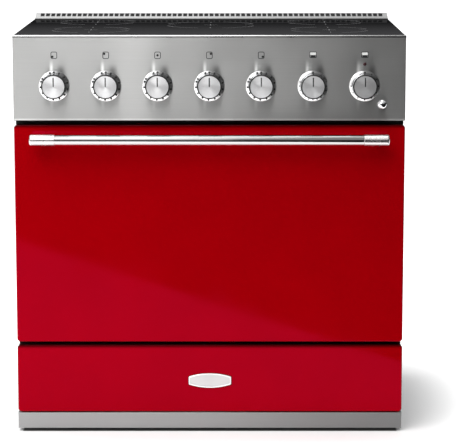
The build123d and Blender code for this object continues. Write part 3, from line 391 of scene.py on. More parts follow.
class Surface(NodeBuilder):
    """Tree of a new material, with the Object coordinates at hand, in metres."""

    def __init__(self, material: bpy.types.Material) -> None:
        """Open the tree.

        Args:
            material: The new material.
        """
        material.use_nodes = True
        super().__init__(material.node_tree)
        self.shader = self.tree.nodes["Principled BSDF"]
        self.where = self.add("ShaderNodeTexCoord").outputs["Object"]
        self.x, self.y, self.z = self.split(self.where)

    def effect(self, tree: bpy.types.NodeTree, **inputs: Any) -> Any:
        """Outputs of a shared shader group that is placed with its own values."""
        return self.add("ShaderNodeGroup", {"Vector": self.where, **inputs}, node_tree=tree).outputs

    def clouds(self, scale: float, detail: float, low: float, high: float) -> Socket:
        """Soft patches between two values."""
        return self.remap(self.noise(self.where, scale, detail), *NOISE_RANGE, low, high)

    def bump(self, height: Any, strength: float, distance: float) -> Socket:
        """Normal of a bumped surface."""
        return self.value("ShaderNodeBump", {"Height": height, "Strength": strength, "Distance": distance})


@dataclass(frozen=True)
class Finish:
    """A surface finish that makes its material once. Its soil is the scale and the strength of smudges."""

    name: str
    slot: str
    colour: Colour
    roughness: float
    metallic: float = 0.0
    soil: Pair = (1.0, 0.0)

    @lru_cache(maxsize=None)
    def material(self) -> bpy.types.Material:
        """Make the finish's material on first use.

        Returns:
            The material, the same one at each call.
        """
        made = bpy.data.materials.new(f"{self.name}_finish")
        made.diffuse_color = self.colour
        nodes = Surface(made)
        scale, amount = self.soil
        rough = self.roughness
        if amount:
            smudges = nodes.effect(smudge_effect(), Scale=scale, Amount=amount)
            rough = nodes.math("ADD", smudges["Mask"], rough)
        nodes.feed(nodes.shader, {"Base Color": self.colour, "Metallic": self.metallic, "Roughness": rough})
        nodes.feed(nodes.shader, self.looks(nodes))
        return made

    def looks(self, nodes: Surface) -> Looks:
        """Shader inputs that carry the finish's own pattern."""
        raise NotImplementedError

    def tinted(self, nodes: Surface, *shades: Any) -> Socket:
        """The base colour times shades that change over the surface."""
        return nodes.scaled(self.colour[:3], nodes.product(*shades))


@dataclass(frozen=True)
class Enamel(Finish):
    """Glossy fired enamel with a slight orange peel, and a painted shade along its upper edge."""

    soil: Pair = (9.0, 0.05)
    peel_scale: float = 260.0
    peel_strength: float = 0.12
    peel_depth: float = 0.00004
    depth_scale: float = 7.0
    depth_detail: float = 4.0
    depth_range: Pair = (0.97, 1.03)
    reflectance: float = 0.5
    shine: Colour = WHITE
    # Painted shade: towards top_z the colour and the specular tint darken, over the reach, to the given
    # factor.
    top_z: float = 1.0
    top_reach: float = 0.0105
    top_shade: float = 0.1

    def looks(self, nodes: Surface) -> Looks:
        """Orange peel, a change of depth in the colour, and a painted shade at the top edge in the colour and
        the specular tint.

        Args:
            nodes: Tree of the material.

        Returns:
            Shader inputs by name.
        """
        peel = nodes.effect(grit_effect(), Scale=self.peel_scale)
        depth = nodes.clouds(self.depth_scale, self.depth_detail, *self.depth_range)
        # Painted shade near the top edge.
        edge = nodes.remap(nodes.z, self.top_z - self.top_reach, self.top_z, 1.0, self.top_shade)
        return {
            "Base Color": self.tinted(nodes, depth, edge),
            "Specular IOR Level": self.reflectance,
            "Specular Tint": nodes.blend(edge, BLACK, self.shine),
            "Normal": nodes.bump(peel["Height"], self.peel_strength, self.peel_depth),
        }


@dataclass(frozen=True)
class SpeckledEnamel(Finish):
    """Dark oven enamel with pale specks."""

    soil: Pair = (11.0, 0.12)
    speck_colour: Colour = tone(120, 122, 130)
    speck_scale: float = 420.0
    patch_scale: float = 190.0
    patch_detail: float = 1.0
    patch_range: Pair = (0.5, 0.62)
    patch_share: float = 0.8
    coat_strength: float = 0.2
    coat_depth: float = 0.00005

    def looks(self, nodes: Surface) -> Looks:
        """Scattered specks over a slightly uneven coat.

        Args:
            nodes: Tree of the material.

        Returns:
            Shader inputs by name.
        """
        grit = nodes.effect(grit_effect(), Scale=self.speck_scale)
        patches = nodes.noise(nodes.where, self.patch_scale, self.patch_detail)
        share = nodes.remap(patches, *self.patch_range, 0.0, self.patch_share)
        return {
            "Base Color": nodes.blend(nodes.product(grit["Specks"], share), self.colour, self.speck_colour),
            "Normal": nodes.bump(grit["Height"], self.coat_strength, self.coat_depth),
        }


@dataclass(frozen=True)
class BrushedSteel(Finish):
    """Steel with fine scratches in one direction, and a painted shade that may darken it towards the right.
    """

    metallic: float = 1.0
    soil: Pair = (6.0, 0.05)
    grain: Grain = Grain.ACROSS
    anisotropy: float = 0.88
    anisotropic_turn: float = 0.25
    contrast: float = 0.16
    line_strength: float = 0.06
    line_depth: float = 0.00002
    # Painted shade: across this range of X the colour falls to the given factor.
    right_shade_range: Pair = (-0.05, 0.45)
    right_painted_shade: float = 1.0

    def looks(self, nodes: Surface) -> Looks:
        """Lines in colour and height, with the highlight drawn out across them.

        Args:
            nodes: Tree of the material.

        Returns:
            Shader inputs by name.
        """
        lines = self.lines(nodes)
        axis = self.grain.tangent_axis
        return {
            "Base Color": self.tinted(nodes, lines["Shade"], self.shade(nodes)),
            "Anisotropic": self.anisotropy,
            "Anisotropic Rotation": self.anisotropic_turn,
            "Tangent": nodes.value("ShaderNodeTangent", direction_type="RADIAL", axis=axis),
            "Normal": nodes.bump(lines["Height"], self.line_strength, self.line_depth),
        }

    def lines(self, nodes: Surface) -> Any:
        """Shade and height of the scratches."""
        return nodes.effect(scratch_effect(), Stretch=self.grain.stretch, Contrast=self.contrast)

    def shade(self, nodes: Surface) -> Socket:
        """Painted shade that darkens the colour slowly towards the right."""
        return nodes.remap(nodes.x, *self.right_shade_range, 1.0, self.right_painted_shade)


@dataclass(frozen=True)
class KnobPanelSteel(BrushedSteel):
    """Brushed panel with painted reflections of a row of knobs, drawn out into light and dark streaks, a
    broad painted highlight and a painted highlight along its lower edge.
    """

    row: Pair = (0.1, 0.0)
    low_z: float = 0.0
    # Painted reflections: a light streak to the left of each knob and a dark one to its right.
    light_left: float = -0.0106
    light_drift: float = 0.0120
    light_width: float = 0.0062
    light_gain: float = 1.4
    low_share: float = 0.2
    # Painted highlight in a broad upright band across the panel.
    broad_highlight_x: float = -0.172
    broad_highlight_width: float = 0.095
    broad_highlight_gain: float = 0.22
    dark_right: float = 0.0160
    dark_width: float = 0.0130
    dark_gain: float = 0.5
    ring_top: float = 0.033
    light_top: float = 0.064
    dark_top: float = 0.052
    # Painted highlight along the lower edge of the panel.
    edge_highlight_rise: float = 0.0036
    edge_highlight_width: float = 0.0026
    edge_highlight_gain: float = 0.7

    def shade(self, nodes: Surface) -> Socket:
        """Painted light and shade: a light streak above and below each knob, a dark one above, a broad
        highlight and a highlight along the lower edge.

        Args:
            nodes: Tree of the material.

        Returns:
            Factor of the base colour.
        """
        across, up = nodes.row_place(nodes.where, *self.row)
        above = nodes.remap(up, 0.0, self.ring_top / 2, 0.0, 1.0)
        # Painted reflections of each knob as light and dark streaks.
        drift = nodes.math("MULTIPLY_ADD", nodes.x, self.light_drift, across)
        fade = nodes.remap(nodes.math("ABSOLUTE", up), self.ring_top, self.light_top, self.light_gain, 0.0)
        share = nodes.remap(above, 0.0, 1.0, self.low_share, 1.0)
        light = nodes.product(nodes.band(drift, self.light_left, self.light_width), fade, share)
        thinning = nodes.remap(up, self.ring_top, self.dark_top, self.dark_gain, 0.0)
        dark = nodes.product(nodes.band(across, self.dark_right, self.dark_width), above, thinning)
        # Painted broad highlight, and below it the painted highlight on the lower edge.
        broad_highlight = nodes.band(nodes.x, self.broad_highlight_x, self.broad_highlight_width)
        base = nodes.math("MULTIPLY_ADD", broad_highlight, self.broad_highlight_gain, 1.0)
        streaks = nodes.math("SUBTRACT", nodes.math("ADD", light, base), dark)
        edge_highlight = nodes.band(nodes.z, self.low_z + self.edge_highlight_rise, self.edge_highlight_width)
        return nodes.math("MULTIPLY_ADD", edge_highlight, self.edge_highlight_gain, streaks)


@dataclass(frozen=True)
class TubeSteel(BrushedSteel):
    """Satin tube with painted shade above its middle and painted light below. Its ranges are shares of the
    radius, up from the middle.
    """

    middle_z: float = 0.0
    radius: float = 0.012
    # Painted shade on the upper part of the tube and painted light on its lower part.
    top_range: Pair = (0.1, 0.4)
    top_shade: float = 0.5
    low_range: Pair = (-0.35, -0.15)
    low_painted_light: float = 1.15
    foot_range: Pair = (-0.85, -0.5)
    foot_painted_light: float = 1.9

    def shade(self, nodes: Surface) -> Socket:
        """Painted shade at the top, painted light below the middle, brightest at the foot.

        Args:
            nodes: Tree of the material.

        Returns:
            Factor of the base colour.
        """
        share = nodes.math("DIVIDE", nodes.math("SUBTRACT", nodes.z, self.middle_z), self.radius)
        upper = nodes.remap(share, *self.top_range, 1.0, self.top_shade)
        lower = nodes.remap(share, *self.low_range, self.low_painted_light, 1.0)
        return nodes.product(upper, lower, nodes.remap(share, *self.foot_range, self.foot_painted_light, 1.0))


@dataclass(frozen=True)
class SpunAluminium(BrushedSteel):
    """Knob caps turned on a lathe, in one row of equal pitch, with a painted shade towards the right end of
    the row.
    """

    soil: Pair = (40.0, 0.06)
    grain: Grain = Grain.TURNED
    anisotropy: float = 0.45
    contrast: float = 0.3
    line_strength: float = 0.05
    # Painted shade on the faces of the knobs towards the right end of the row.
    right_shade_range: Pair = (0.16, 0.36)
    right_painted_shade: float = 0.62
    row: Pair = (0.1, 0.0)
    rings: float = 2600.0

    def lines(self, nodes: Surface) -> Any:
        """Shade and height of the turning rings round each knob."""
        row = dict(zip(("Row Pitch", "Row Height"), self.row))
        return nodes.effect(turning_effect(), Rings=self.rings, Contrast=self.contrast, **row)


@dataclass(frozen=True)
class Polished(Finish):
    """Plated or polished metal with hairlines and fingermarks."""

    metallic: float = 1.0
    soil: Pair = (45.0, 0.06)
    stretch: Triple = (400.0, 90.0, 700.0)
    contrast: float = 0.06

    def looks(self, nodes: Surface) -> Looks:
        """Faint hairlines in the colour."""
        lines = nodes.effect(scratch_effect(), Stretch=self.stretch, Contrast=self.contrast)
        return {"Base Color": self.tinted(nodes, lines["Shade"], self.shade(nodes))}

    def shade(self, nodes: Surface) -> Any:
        """Slow change of the colour over the surface; none here."""
        return 1.0


@dataclass(frozen=True)
class DialChrome(Polished):
    """Chrome of a row of dial rings with painted shade towards the top and right of each, and painted
    highlight on the left and below.
    """

    row: Pair = (0.1, 0.0)
    # Painted shade and highlight round each ring, set by the angle about its knob.
    lean: float = 0.35
    dark_range: Pair = (0.0175, 0.0255)
    dark_shade: float = 0.36
    glare_lean: float = 0.6
    glare_range: Pair = (0.010, 0.026)
    glare_painted_light: float = 1.25
    far_painted_shade: float = 0.6

    def shade(self, nodes: Surface) -> Socket:
        """Painted shade from eleven o'clock to four o'clock, painted highlight on the left and below.

        Args:
            nodes: Tree of the material.

        Returns:
            Factor of the base colour.
        """
        across, up = nodes.row_place(nodes.where, *self.row)
        rise = nodes.math("MULTIPLY_ADD", across, self.lean, up)
        crown = nodes.remap(rise, *self.dark_range, 1.0, self.dark_shade)
        away = nodes.math("MULTIPLY_ADD", up, self.glare_lean, across)
        return nodes.product(crown, nodes.remap(away, *self.glare_range, self.glare_painted_light, self.far_painted_shade))


@dataclass(frozen=True)
class BlackGlass(Finish):
    """Black glass-ceramic with a painted reflection: grey with faint dots that thins out towards the back."""

    soil: Pair = (5.0, 0.05)
    # Painted reflection: a grey with faint dots over the black, strongest at the front.
    painted_reflection_colour: Colour = tone(56, 56, 57)
    painted_reflection_share: float = 0.75
    dot_scale: float = 900.0
    dot_range: Pair = (0.2, 0.7)
    dot_density: Pair = (1.1, 0.8)
    gloss: float = 0.07
    gloss_roughness: float = 0.04
    front_y: float = 0.0
    back_y: float = 1.0

    def looks(self, nodes: Surface) -> Looks:
        """Painted reflection that thins out from front to back, under a thin gloss.

        Args:
            nodes: Tree of the material.

        Returns:
            Shader inputs by name.
        """
        # Painted reflection, strongest at the front.
        share = nodes.remap(nodes.y, self.front_y, self.back_y, self.painted_reflection_share, 0.0)
        dots = nodes.cells(nodes.where, self.dot_scale)["Distance"]
        mask = nodes.product(share, nodes.remap(dots, *self.dot_range, *self.dot_density))
        return {
            "Base Color": nodes.blend(mask, self.colour, self.painted_reflection_colour),
            "Specular IOR Level": 0.0,
            "Coat Weight": self.gloss,
            "Coat Roughness": self.gloss_roughness,
        }


@dataclass(frozen=True)
class ZincSheet(Finish):
    """Galvanised sheet with its crystal pattern."""

    metallic: float = 1.0
    crystal_scale: float = 170.0
    shade_range: Pair = (0.8, 1.1)
    gloss_gain: float = 0.08
    gloss_loss: float = 0.12

    def looks(self, nodes: Surface) -> Looks:
        """Crystals of unlike shade and gloss.

        Args:
            nodes: Tree of the material.

        Returns:
            Shader inputs by name.
        """
        crystal = nodes.split(nodes.cells(nodes.where, self.crystal_scale)["Color"])[0]
        smooth, dull = self.roughness - self.gloss_gain, self.roughness + self.gloss_loss
        return {
            "Base Color": self.tinted(nodes, nodes.remap(crystal, 0.0, 1.0, *self.shade_range)),
            "Roughness": nodes.remap(crystal, 0.0, 1.0, smooth, dull),
        }


@dataclass(frozen=True)
class HeatedSteel(Finish):
    """Steel discoloured by heat."""

    metallic: float = 0.9
    soil: Pair = (30.0, 0.15)
    burn_colour: Colour = tone(120, 92, 70)
    burn_scale: float = 18.0
    burn_detail: float = 4.0
    burn_range: Pair = (0.35, 0.7)

    def looks(self, nodes: Surface) -> Looks:
        """Brown patches.

        Args:
            nodes: Tree of the material.

        Returns:
            Shader inputs by name.
        """
        burns = nodes.noise(nodes.where, self.burn_scale, self.burn_detail)
        patches = nodes.remap(burns, *self.burn_range, 0.0, 1.0)
        return {"Base Color": nodes.blend(patches, self.colour, self.burn_colour)}


@dataclass(frozen=True)
class Strands(Finish):
    """Matted fibre or close turns of wire."""

    stretch: Triple = (260.0, 900.0, 420.0)
    contrast: float = 0.5
    strength: float = 0.8
    depth: float = 0.001

    def looks(self, nodes: Surface) -> Looks:
        """Strands in colour and height.

        Args:
            nodes: Tree of the material.

        Returns:
            Shader inputs by name.
        """
        lines = nodes.effect(scratch_effect(), Stretch=self.stretch, Contrast=self.contrast)
        normal = nodes.bump(lines["Height"], self.strength, self.depth)
        return {"Base Color": self.tinted(nodes, lines["Shade"]), "Normal": normal}


@dataclass(frozen=True)
class PowderCoat(Finish):
    """Satin powder coat with a fine texture. The three kinds after it change its values."""

    soil: Pair = (8.0, 0.04)
    mottle_scale: float = 14.0
    mottle_detail: float = 5.0
    mottle_range: Pair = (0.95, 1.05)
    grit_scale: float = 900.0
    grit_strength: float = 0.35
    grit_depth: float = 0.00012
    transmission: float = 0.0

    def looks(self, nodes: Surface) -> Looks:
        """Slight mottling, and a fine bump where the grit has strength.

        Args:
            nodes: Tree of the material.

        Returns:
            Shader inputs by name.
        """
        mottle = nodes.clouds(self.mottle_scale, self.mottle_detail, *self.mottle_range)
        looks = {"Base Color": self.tinted(nodes, mottle), "Transmission Weight": self.transmission}
        if self.grit_strength:
            grit = nodes.effect(grit_effect(), Scale=self.grit_scale)
            looks["Normal"] = nodes.bump(grit["Height"], self.grit_strength, self.grit_depth)
        return looks


@dataclass(frozen=True)
class Moulded(PowderCoat):
    """Moulded plastic or rubber with a fine grain and slight wear."""

    soil: Pair = (25.0, 0.12)
    mottle_scale: float = 60.0
    mottle_detail: float = 4.0
    mottle_range: Pair = (0.85, 1.15)
    grit_scale: float = 1400.0
    grit_strength: float = 0.3
    grit_depth: float = 0.0001


@dataclass(frozen=True)
class ClearGlass(PowderCoat):
    """Frosted or coloured glass and lens plastic."""

    soil: Pair = (60.0, 0.1)
    mottle_scale: float = 120.0
    mottle_detail: float = 3.0
    mottle_range: Pair = (0.9, 1.05)
    grit_strength: float = 0.0
    transmission: float = 0.6


@dataclass(frozen=True)
class PrintedInk(PowderCoat):
    """Screen-printed ink, slightly uneven."""

    soil: Pair = (90.0, 0.15)
    mottle_scale: float = 900.0
    mottle_detail: float = 3.0
    mottle_range: Pair = (0.85, 1.1)
    grit_strength: float = 0.0


class GeometryRecipe(NodeGroup):
    """A Geometry Nodes tree with named inputs, run once and kept as a plain mesh."""

    def __init__(self, name: str, inputs: dict[str, str]) -> None:
        """Make the tree with a geometry, the named inputs and a material."""
        sockets = {"Geometry": GEOMETRY, **inputs, "Material": MATERIAL}
        super().__init__(name, "GeometryNodeTree", sockets, {"Geometry": GEOMETRY})

    def triple(self, x: Any, y: Any, z: Any) -> Socket:
        """A vector made of three values."""
        return self.value("ShaderNodeCombineXYZ", {0: x, 1: y, 2: z})

    def shape(self, label: str) -> Socket:
        """Geometry of an object input."""
        return self.add("GeometryNodeObjectInfo", {"Object": self[label]}).outputs["Geometry"]

    def copies(self, points: Any, instance: Any, rotation: Any = (0.0, 0.0, 0.0)) -> Socket:
        """One instance on each point."""
        inputs = {"Points": points, "Instance": instance, "Rotation": rotation}
        return self.value("GeometryNodeInstanceOnPoints", inputs)

    def row(self, count: Any, start: Any, step: Any) -> Socket:
        """Points in a straight row."""
        inputs = {"Count": count, "Start Location": start, "Offset": step}
        return self.value("GeometryNodeMeshLine", inputs, mode="OFFSET")

    def joined(self, *parts: Socket) -> Socket:
        """Join geometries.

        Args:
            *parts: The geometries.

        Returns:
            All of them as one.
        """
        node = self.add("GeometryNodeJoinGeometry")
        for part in parts:
            self.tree.links.new(part, node.inputs[0])
        return node.outputs[0]

    def shifted(self, geometry: Any, x: Any) -> Socket:
        """A geometry moved along X."""
        inputs = {"Geometry": geometry, "Translation": self.triple(x, 0.0, 0.0)}
        return self.value("GeometryNodeTransform", inputs)

    def tube(self, curve: Any, radius: Any) -> Socket:
        """Bend round wire along a curve.

        Args:
            curve: The wire's middle line.
            radius: The wire's radius.

        Returns:
            The wire with its ends closed.
        """
        profile = self.value("GeometryNodeCurvePrimitiveCircle", {"Resolution": COARSE, "Radius": radius})
        inputs = {"Curve": curve, "Profile Curve": profile, "Fill Caps": True}
        return self.value("GeometryNodeCurveToMesh", inputs)

    def close(self, geometry: Socket, weld: float = 0.0) -> "GeometryRecipe":
        """End the tree with real geometry and its material.

        Args:
            geometry: What the tree has made.
            weld: Distance below which vertices are merged, or 0 for none.

        Returns:
            The finished recipe.
        """
        real = self.value("GeometryNodeRealizeInstances", {"Geometry": geometry})
        if weld:
            real = self.value("GeometryNodeMergeByDistance", {"Geometry": real, "Distance": weld})
        coat = {"Geometry": real, "Material": self["Material"]}
        self.put("Geometry", self.value("GeometryNodeSetMaterial", coat))
        return self

    def mesh(self, points: Iterable[Vector] = (), **values: Any) -> Mesh:
        """Run the tree.

        Args:
            points: Vertices of the geometry that goes into the tree.
            **values: Value of each input, with _ for a space in its name.

        Returns:
            The evaluated result as a plain mesh.
        """
        seed = bpy.data.meshes.new("seed")
        seed.from_pydata([tuple(p) for p in points], [], [])
        carrier = bpy.data.objects.new("carrier", seed)
        bpy.context.scene.collection.objects.link(carrier)
        modifier = carrier.modifiers.new("recipe", "NODES")
        modifier.node_group = self.tree
        for item in self.tree.interface.items_tree:
            if item.in_out == "INPUT" and item.name != "Geometry":
                modifier[item.identifier] = values[item.name.replace(" ", "_").lower()]
        evaluated = carrier.evaluated_get(bpy.context.evaluated_depsgraph_get())
        made = bpy.data.meshes.new_from_object(evaluated)
        carrier.modifiers.remove(modifier)
        bpy.data.objects.remove(carrier)
        return made


@lru_cache(maxsize=None)
def row_recipe() -> GeometryRecipe:
    """Copies of a shape in a straight row, welded where they meet.

    Returns:
        The recipe.
    """
    recipe = GeometryRecipe("row", {"Shape": OBJECT, "Count": COUNT, "Start": VECTOR, "Step": VECTOR})
    line = recipe.row(recipe["Count"], recipe["Start"], recipe["Step"])
    return recipe.close(recipe.copies(line, recipe.shape("Shape")), weld=WELD)


@lru_cache(maxsize=None)
def spread_recipe() -> GeometryRecipe:
    """Copies of a shape on given points."""
    recipe = GeometryRecipe("spread", {"Shape": OBJECT})
    return recipe.close(recipe.copies(recipe["Geometry"], recipe.shape("Shape")))


@lru_cache(maxsize=None)
def dial_recipe() -> GeometryRecipe:
    """Dots on a sloping dial round each given centre, at equal steps clockwise from the top.

    Returns:
        The recipe.
    """
    inputs = {"Count": COUNT, "First": FLOAT, "Step": FLOAT, "Circle": FLOAT, "Tilt": FLOAT}
    recipe = GeometryRecipe("dial", inputs | {"Dot": FLOAT, "Height": FLOAT})
    index = recipe.value("GeometryNodeInputIndex")
    angle = recipe.math("MULTIPLY_ADD", index, recipe["Step"], recipe["First"])
    across = recipe.product(recipe.math("SINE", angle), recipe["Circle"])
    up = recipe.product(recipe.math("COSINE", angle), recipe["Circle"])
    spots = {"Count": recipe["Count"], "Position": recipe.triple(across, 0.0, up)}
    points = recipe.value("GeometryNodePoints", spots)
    disc = {"Vertices": COARSE, "Radius": recipe["Dot"], "Depth": recipe["Height"]}
    dot = recipe.value("GeometryNodeMeshCylinder", disc)
    lean = recipe.triple(recipe.math("SUBTRACT", math.pi / 2, recipe["Tilt"]), angle, 0.0)
    return recipe.close(recipe.copies(recipe["Geometry"], recipe.copies(points, dot, lean)))


@lru_cache(maxsize=None)
def zone_recipe() -> GeometryRecipe:
    """Printed hob zones round given centres: a broken ring, ticks and a centre cross.

    Returns:
        The recipe.
    """
    inputs = {"Radius": FLOAT, "Tick": FLOAT, "Line": FLOAT, "Height": FLOAT, "Arms": COUNT, "Sweep": FLOAT}
    recipe = GeometryRecipe("zone", inputs)
    turn = recipe.math("DIVIDE", 2 * math.pi, recipe["Arms"])
    spin = recipe.triple(0.0, 0.0, recipe.product(recipe.value("GeometryNodeInputIndex"), turn))
    pins = recipe.value("GeometryNodePoints", {"Count": recipe["Arms"]})
    start = recipe.product(recipe.math("SUBTRACT", turn, recipe["Sweep"]), 0.5)
    bend = {"Resolution": COARSE, "Radius": recipe["Radius"]}
    bend |= {"Start Angle": start, "Sweep Angle": recipe["Sweep"]}
    arc = recipe.value("GeometryNodeCurveArc", bend)
    section = {"Width": recipe["Line"], "Height": recipe["Height"]}
    profile = recipe.value("GeometryNodeCurvePrimitiveQuadrilateral", section)
    ribbon = recipe.value("GeometryNodeCurveToMesh", {"Curve": arc, "Profile Curve": profile})
    bar = recipe.triple(recipe["Tick"], recipe["Line"], recipe["Height"])
    tick = recipe.value("GeometryNodeMeshCube", {"Size": bar})
    outer = recipe.shifted(tick, recipe.math("SUBTRACT", recipe["Radius"], recipe["Tick"]))
    inner = recipe.shifted(tick, recipe.product(recipe["Tick"], 0.5))
    arms = recipe.copies(pins, recipe.joined(ribbon, outer, inner), spin)
    return recipe.close(recipe.copies(recipe["Geometry"], arms))


@lru_cache(maxsize=None)
def shelf_recipe() -> GeometryRecipe:
    """A wire shelf: a rounded frame with bars from front to back, centred on each given point.

    Returns:
        The recipe.
    """
    inputs = {"Width": FLOAT, "Depth": FLOAT, "Corner": FLOAT, "Frame": FLOAT, "Wire": FLOAT, "Bars": COUNT}
    recipe = GeometryRecipe("shelf", inputs)
    frame_size = {"Width": recipe["Width"], "Height": recipe["Depth"]}
    loop = recipe.value("GeometryNodeCurvePrimitiveQuadrilateral", frame_size)
    bend = {"Curve": loop, "Radius": recipe["Corner"], "Count": BEND}
    rim = recipe.tube(recipe.value("GeometryNodeFilletCurve", bend, mode="POLY"), recipe["Frame"])
    half = recipe.product(recipe["Depth"], 0.5)
    back = recipe.triple(0.0, half, 0.0)
    front = recipe.triple(0.0, recipe.product(half, -1.0), 0.0)
    line = recipe.value("GeometryNodeCurvePrimitiveLine", {"Start": front, "End": back})
    bar = recipe.tube(line, recipe["Wire"])
    pitch = recipe.math("DIVIDE", recipe["Width"], recipe.math("ADD", recipe["Bars"], 1.0))
    first = recipe.math("SUBTRACT", pitch, recipe.product(recipe["Width"], 0.5))
    spots = recipe.row(recipe["Bars"], recipe.triple(first, 0.0, 0.0), recipe.triple(pitch, 0.0, 0.0))
    return recipe.close(recipe.copies(recipe["Geometry"], recipe.joined(rim, recipe.copies(spots, bar))))


def circle(radius: float, steps: int = ROUND) -> Outline:
    """Points of a circle."""
    turn = 2 * math.pi / steps
    return [(radius * math.cos(turn * i), radius * math.sin(turn * i)) for i in range(steps)]


def rounded(width: float, height: float, corner: float, steps: int = CORNER) -> Outline:
    """Points of a rounded rectangle.

    Args:
        width: Overall width.
        height: Overall height.
        corner: Corner radius.
        steps: Segments in each corner.

    Returns:
        The outline, counter-clockwise.
    """
    u, v = width / 2 - corner, height / 2 - corner
    outline = []
    for quarter, (corner_u, corner_v) in enumerate(((u, v), (-u, v), (-u, -v), (u, -v))):
        outline += bow(90 * quarter, 90 * quarter + 90, corner, corner_u, corner_v, steps)
    return outline


def barrel(width: float, height: float, end: float, corner: float, steps: int = 20) -> Outline:
    """Points of a plate with upright ends and a bowed top and bottom.

    Args:
        width: Overall width.
        height: Height in the middle.
        end: Height of the upright ends.
        corner: Cut at each corner.
        steps: Segments in each bow.

    Returns:
        The outline, counter-clockwise.
    """
    half, crown, shoulder = width / 2, height / 2, end / 2 - corner
    rise = (height - end) / 2
    radius = (half**2 + rise**2) / (2 * rise)
    across = [(half - corner) * (1 - 2 * i / steps) for i in range(steps + 1)]
    upper = [(u, crown - radius + math.sqrt(radius**2 - u**2)) for u in across]
    lower = [(-u, -v) for u, v in upper]
    return [(half, shoulder), *upper, (-half, shoulder), (-half, -shoulder), *lower, (half, -shoulder)]


def bow(
    start: float, end: float, radius: float, u: float, v: float, steps: int = BEND, rise: float = 0.0
) -> Outline:
    """Arc in an outline, or in a turned profile with u from the axis and v along it.

    Args:
        start: First angle in degrees, from the direction of u towards that of v.
        end: Last angle in degrees.
        radius: Radius of the arc.
        u: First coordinate of the arc's centre.
        v: Second coordinate of the arc's centre.
        steps: Segments in the arc.
        rise: Radius along v where that is another one.

    Returns:
        Points of the arc.
    """
    angles = [math.radians(start + (end - start) * i / steps) for i in range(steps + 1)]
    return [(u + radius * math.cos(t), v + (rise or radius) * math.sin(t)) for t in angles]


def loft(rings: Sequence[Ring], closed: bool = False, ends: bool = True) -> Mesh:
    """Skin over a sequence of rings with equal counts.

    Args:
        rings: Rings in order.
        closed: Whether the last ring joins the first, in place of two end caps.
        ends: Whether an unclosed skin gets its end caps.

    Returns:
        The mesh, with outward normals where it is closed or has its ends.
    """
    work = bmesh.new()
    loops = [[work.verts.new(point) for point in points] for points in rings]
    pairs = list(zip(loops, loops[1:]))
    if closed:
        pairs.append((loops[-1], loops[0]))
    for first, second in pairs:
        for i, corner in enumerate(first):
            j = (i + 1) % len(first)
            work.faces.new((corner, first[j], second[j], second[i]))
    if ends and not closed:
        work.faces.new(loops[0][::-1])
        work.faces.new(loops[-1])
    if ends:
        bmesh.ops.recalc_face_normals(work, faces=work.faces)
    made = bpy.data.meshes.new("loft")
    work.to_mesh(made)
    work.free()
    return made


def stacked(
    steps: Iterable[tuple[Outline, float]],
    centre: Vector,
    closed: bool = False,
    facing: Facing = Facing.FRONT,
) -> Mesh:
    """Skin over outlines set along an axis.

    Args:
        steps: Pairs of an outline and its distance along the axis.
        centre: Start of the axis.
        closed: Whether the last outline joins the first, as in a ring.
        facing: Direction of the axis.

    Returns:
        The mesh.
    """
    rings = [[facing.point(centre, u, v, along) for u, v in outline] for outline, along in steps]
    return loft(rings, closed)


def turned(
    profile: Outline, centre: Vector, sides: int, closed: bool = False, facing: Facing = Facing.FRONT
) -> Mesh:
    """A piece turned about an axis.

    Args:
        profile: Pairs of radius and distance along the axis.
        centre: Start of the axis.
        sides: Segments round the axis.
        closed: Whether the profile is a closed loop, as of a ring.
        facing: Direction of the axis.

    Returns:
        The turned mesh.
    """
    return stacked([(circle(r, sides), a) for r, a in profile], centre, closed, facing)


def gathered(meshes: Iterable[Mesh]) -> Mesh:
    """Join meshes.

    Args:
        meshes: The meshes, which are used up.

    Returns:
        All of them as one.
    """
    work = bmesh.new()
    for mesh in meshes:
        work.from_mesh(mesh)
        bpy.data.meshes.remove(mesh)
    made = bpy.data.meshes.new("gathered")
    work.to_mesh(made)
    work.free()
    return made


def shape_of(mesh: Mesh) -> bpy.types.Object:
    """A passing object that lends its mesh to a recipe."""
    return bpy.data.objects.new("shape", mesh)


def settle(piece: bpy.types.Object) -> None:
    """Smooth a piece's curved faces and keep its flat ones flat.

    Args:
        piece: The piece, whose mesh is replaced.
    """
    piece.data.shade_smooth()
    piece.data.set_sharp_from_angle(angle=SHARP_ANGLE)
    modifier = piece.modifiers.new("weights", "WEIGHTED_NORMAL")
    modifier.keep_sharp = True
    evaluated = piece.evaluated_get(bpy.context.evaluated_depsgraph_get())
    smooth = bpy.data.meshes.new_from_object(evaluated)
    piece.modifiers.remove(modifier)
    piece.data = smooth


def mount(name: str, mesh: Mesh, finish: Finish, body: str, *nodes: str) -> bpy.types.Object:
    """Make a mesh a piece of the object.

    Args:
        name: Name of the piece.
        mesh: Its mesh, in the shared frame.
        finish: Its finish.
        body: CAD body that it rides on.
        *nodes: CAD nodes that it stands for.

    Returns:
        The new piece.
    """
    piece = bpy.data.objects.new(name, mesh)
    bpy.context.scene.collection.objects.link(piece)
    mesh.name = name
    mesh.materials.clear()
    mesh.materials.append(finish.material())
    settle(piece)
    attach(piece, body)
    if nodes:
        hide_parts(*nodes)
    log.info("%s rides on %s", name, body)
    return piece


def dress_nodes(finish: Finish, *nodes: str) -> None:
    """Give CAD nodes that keep their shape a finish.

    Args:
        finish: The finish.
        *nodes: Names of the nodes.
    """
    for node in nodes:
        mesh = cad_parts[node].data
        mesh.materials.clear()
        mesh.materials.append(finish.material())
        log.info("%s is finished in %s", node, finish.name)


